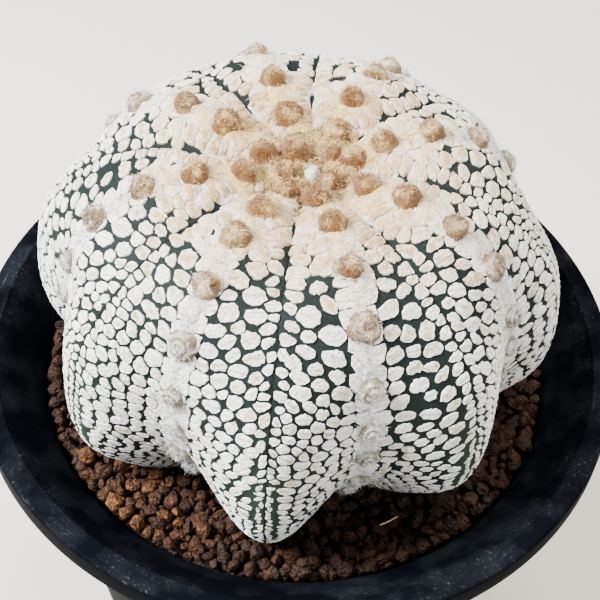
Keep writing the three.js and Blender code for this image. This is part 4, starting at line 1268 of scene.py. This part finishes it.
areoles = make_piece("areole_buttons", np.concatenate(button_points), button_faces, plant_wool,
                     {"tan_and_shade": np.concatenate(button_tan_and_shade), "age": np.concatenate(button_age)})
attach(areoles, "root")
# The hairs of a button are drawn as thick as those of the rows
hair_roots = np.concatenate(hair_roots)
points, faces, each = fibres(
    hair_roots, np.concatenate(hair_heads), np.concatenate(hair_ups),
    chance.uniform(0.4, 1.0, len(hair_roots)), 0.5, 0.15, 3, chance)
areole_hair = make_piece("areole_hairs", points, faces, plant_wool,
                         {"tan_and_shade": np.repeat(np.concatenate(hair_tan_and_shade) + chance.normal(
                             -0.1, 0.25, len(hair_roots)), each),
                          "age": np.repeat(np.concatenate(hair_age), each)})
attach(areole_hair, "root")


# The withered bud. A bud that never opened has dried to a dark papery wisp, 2 mm long. It still
# stands in the wool of the third button down the row in front on the left.
BUD_BUTTON = 2
BUD_LENGTH = 2.1
BUD_RADIUS = 0.6
BUD_ROUND = 12
BUD_STEPS = 12
spot, side, ahead, out, radius, rise, _, _ = buttons[BUD_BUTTON]
bud_along = unit(side * 0.8 - ahead * 0.35 + out * 0.55)
bud_beside = unit(np.cross(bud_along, out))
bud_above = np.cross(bud_beside, bud_along)
bud_shares = np.linspace(0, 1, BUD_STEPS)
bud_foot = spot + side * 0.45 * radius - ahead * 0.2 * radius + out * 0.75 * rise
bud_middles = bud_foot + bud_along * BUD_LENGTH * bud_shares[:, None]
bud_middles = bud_middles + bud_above * (0.35 * bud_shares ** 2)[:, None]
bud_radii = BUD_RADIUS * (1 - bud_shares) ** 0.8 + 0.05
bud_points, bud_faces = rod(bud_middles, bud_radii, bud_beside, bud_above * 0.6, BUD_ROUND)
bud_points = bud_points + np.stack(
    [0.14 * lumps(bud_points, 0.5, seed) for seed in (65, 66, 67)], -1)

# Withered plant tissue: dull dark brown, shrunk into folds and a little paler along them.
withered, shader = start_material("withered_brown_bud")
place = add_node(withered, "ShaderNodeTexCoord").outputs["Object"]
folds = add_node(withered, "ShaderNodeTexNoise", {"Scale": 1 / 0.0005, "Detail": 3},
                 {"Vector": place})
fold_colour = add_node(withered, "ShaderNodeMix",
                       {"data_type": "RGBA", 6: linear("#1d0f06"), 7: linear("#7a5228")},
                       {0: folds.outputs["Fac"]})
fold_bump = add_node(withered, "ShaderNodeBump", {"Strength": 0.8, "Distance": 0.0003},
                     {"Height": folds.outputs["Fac"]})
set_up(withered, shader, {"Roughness": 0.75, "Specular IOR Level": 0.2},
       {"Base Color": fold_colour.outputs[2], "Normal": fold_bump.outputs[0]})
bud = make_piece("withered_bud", bud_points, bud_faces, withered)
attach(bud, "root")


# The wool of the crown. New areoles open round the growing tip, and their hair mats together
# into a soft curly cap over the hollow of the crown. A thin felt runs on from it over the skin
# to about 25 mm out, and only the furrows part it.
CAP_THICK = 1.0
# The station where the cap ends
CAP_END = 1.15
FELT_THICK = 0.12
CROWN_HAIRS = 6200


def crown_relief(spot):
    """The tufts of the crown's wool, from -1 to 1."""
    return 0.65 * lumps(spot, 2.3, 71) + 0.35 * lumps(spot, 1.0, 72)


def in_cap(spot, station):
    """1 where the thick cap of wool is, and 0 beyond its ragged edge."""
    return 1 - ease(CAP_END - 0.4, CAP_END, station / (1 + 0.13 * lumps(spot, 3.5, 70)))


cap_stations = np.concatenate([np.linspace(0.04, 1.2, 27), np.linspace(1.25, 2.9, 36)])
grid_station, grid_rib = np.meshgrid(cap_stations, skin_ribs, indexing="ij")
spot, per_rib, _, out = skin_frame(grid_rib, grid_station)
row_gap, furrow_gap = gaps(grid_rib, per_rib)
deep = in_cap(spot, grid_station)
felt_end = 2.2 + 0.5 * (1 - ease(2, 6, row_gap)) + 0.3 * lumps(spot, 4, 75)
parted = ease(-0.1, 0.25, furrow_gap - 0.05 + 0.5 * lumps(spot, 2.2, 76))
felted = (1 - ease(felt_end - 0.15, felt_end + 0.1, grid_station)) * np.maximum(parted, deep)
relief = crown_relief(spot)
# Beyond its edge the felt goes down under the skin
thick = -3 * FELT_THICK + 4 * FELT_THICK * felted + CAP_THICK * deep
thick = thick + relief * (0.12 * felted + 0.88 * deep)
cap_points = np.concatenate([(spot + out * thick[..., None]).reshape(-1, 3),
                             skin(0, 0.0)[None] + [0, 0, 1.0]])
crown_faces = lattice_faces(len(cap_stations), columns)
crown_faces += cap_faces(len(cap_points) - 1, 0, columns)
# Painted tan down between the tufts as painted shade and cream on top of them as painted light,
# paler on the felt
cap_tan_and_shade = (0.6 - 0.7 * relief) * deep - 0.05
cap = make_piece("crown_wool", cap_points, crown_faces, plant_wool,
                 {"tan_and_shade": np.append(cap_tan_and_shade.ravel(), 0.5),
                  "age": np.append(0.8 * ease(0.8, 2, grid_station).ravel(), 0)})
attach(cap, "root")
# Its curly hairs are drawn 0.14 mm thick, several real hairs to one
chance = np.random.default_rng(73)
hair_rib = chance.uniform(0, RIBS, CROWN_HAIRS)
hair_station = 1.3 * np.sqrt(chance.uniform(0.002, 1, CROWN_HAIRS))
spot, per_rib, down, out = skin_frame(hair_rib, hair_station)
relief = crown_relief(spot)
lift = FELT_THICK + 0.12 * relief + (CAP_THICK + 0.88 * relief) * in_cap(spot, hair_station)
# Neighbouring hairs are combed the same way
combed = 5 * lumps(spot, 3, 74) + chance.normal(0, 0.5, CROWN_HAIRS)
heading = unit(per_rib) * np.cos(combed)[:, None] + unit(down) * np.sin(combed)[:, None]
points, faces, each = fibres(spot + out * lift[:, None], heading + out * 0.3, out,
                             chance.uniform(0.8, 2.1, CROWN_HAIRS), 0.75, 0.14, 4, chance)
# Painted tan down between the tufts as painted shade, cream on top of them as painted light
hair_tan_and_shade = 0.3 - 0.5 * relief + chance.normal(0, 0.3, CROWN_HAIRS)
crown_hair = make_piece("crown_hairs", points, faces, plant_wool,
                        {"tan_and_shade": np.repeat(hair_tan_and_shade, each), "age": np.zeros(len(points))})
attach(crown_hair, "root")


# The growing tip. A small tuft of the newest and brightest hair, 3 by 4 mm and a little lumpy.
# It has grown out of the middle of the crown and stands clear of the cap of wool.
TIP_ROUND = 24
TIP_RINGS = 9
TIP_FOOT = np.array([0.9, -2.1, 151.2])
TIP_SIZE = np.array([1.5, 2.0, 2.5])
tip_turns = np.arange(TIP_ROUND) * 2 * math.pi / TIP_ROUND
tip_rings = []
for share in np.linspace(0.05, 0.98, TIP_RINGS):
    reach = math.sin(share * math.pi / 2)
    height = math.cos(share * math.pi / 2)
    tip_rings.append(TIP_FOOT + TIP_SIZE * np.stack(
        [reach * np.cos(tip_turns), reach * np.sin(tip_turns), np.full(TIP_ROUND, height)], -1))
tip_points = np.concatenate(tip_rings + [[TIP_FOOT + [0, 0, TIP_SIZE[2] + 0.02]]])
tip_points = tip_points + np.stack(
    [0.5 * lumps(tip_points, 1.1, seed) for seed in (80, 81, 82)], -1)
tip_faces = lattice_faces(TIP_RINGS, TIP_ROUND)
tip_faces += cap_faces(len(tip_points) - 1, 0, TIP_ROUND)
tip = make_piece("growing_tip", tip_points, tip_faces, plant_wool,
                 {"tan_and_shade": np.full(len(tip_points), -0.6), "age": np.full(len(tip_points), 0.85)})
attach(tip, "root")


# The floor, the light and the camera. A plain pale floor, a soft light high on the left, one
# overhead, a weak one in front on the right, and the photograph's point of view.
FLOOR_HALF = 1500
# Pale matt paint: plain, so that only the soft shadows show on it.
floor_finish, shader = start_material("pale_painted_floor")
set_up(floor_finish, shader, {"Base Color": linear("#c9c4bb"), "Roughness": 0.8})
floor_points = [(-FLOOR_HALF, -FLOOR_HALF, 0), (FLOOR_HALF, -FLOOR_HALF, 0),
                (FLOOR_HALF, FLOOR_HALF, 0), (-FLOOR_HALF, FLOOR_HALF, 0)]
floor = make_piece("floor", floor_points, [(0, 1, 2, 3)], floor_finish)


def add_light(name, place, aim, size, power, colour):
    """A square soft light that shines from place towards aim, in metres."""
    lamp = bpy.data.lights.new(name, "AREA")
    lamp.size = size
    lamp.energy = power
    lamp.color = linear(colour)[:3]
    holder = bpy.data.objects.new(name, lamp)
    bpy.context.collection.objects.link(holder)
    back = unit(np.array(place, float) - np.array(aim, float))
    side = unit(np.cross([0, 0, 1], back))
    up = np.cross(back, side)
    holder.matrix_world = Matrix([(*row, p) for row, p in zip(
        np.stack([side, up, back], axis=1).tolist(), place)] + [(0, 0, 0, 1)])


add_light("key_light", (-0.52, -0.1, 0.62), (0, 0, 0.12), 0.25, 35, "#fafcff")
add_light("top_light", (0.2, 0.2, 0.86), (0, 0, 0.12), 0.4, 15, "#fffaf4")
add_light("fill_light", (0.5, -0.45, 0.45), (0, 0, 0.12), 0.5, 6, "#ffffff")
world = bpy.data.worlds.new("studio")
world.use_nodes = True
world.node_tree.nodes["Background"].inputs["Color"].default_value = linear("#dfe4ea")
world.node_tree.nodes["Background"].inputs["Strength"].default_value = 0.18
bpy.context.scene.world = world

camera = bpy.data.objects.new("camera", bpy.data.cameras.new("camera"))
camera.data.lens = 75
camera.data.sensor_width = 36
camera.data.clip_start = 0.01
bpy.context.collection.objects.link(camera)
# The camera's right, up and back, and its place
camera.matrix_world = Matrix([
    (0.99793, -0.06437, 0.0, 0.00017),
    (0.04872, 0.75534, -0.65350, -0.16308),
    (0.04207, 0.65216, 0.75690, 0.30427),
    (0, 0, 0, 1),
])
bpy.context.scene.camera = camera
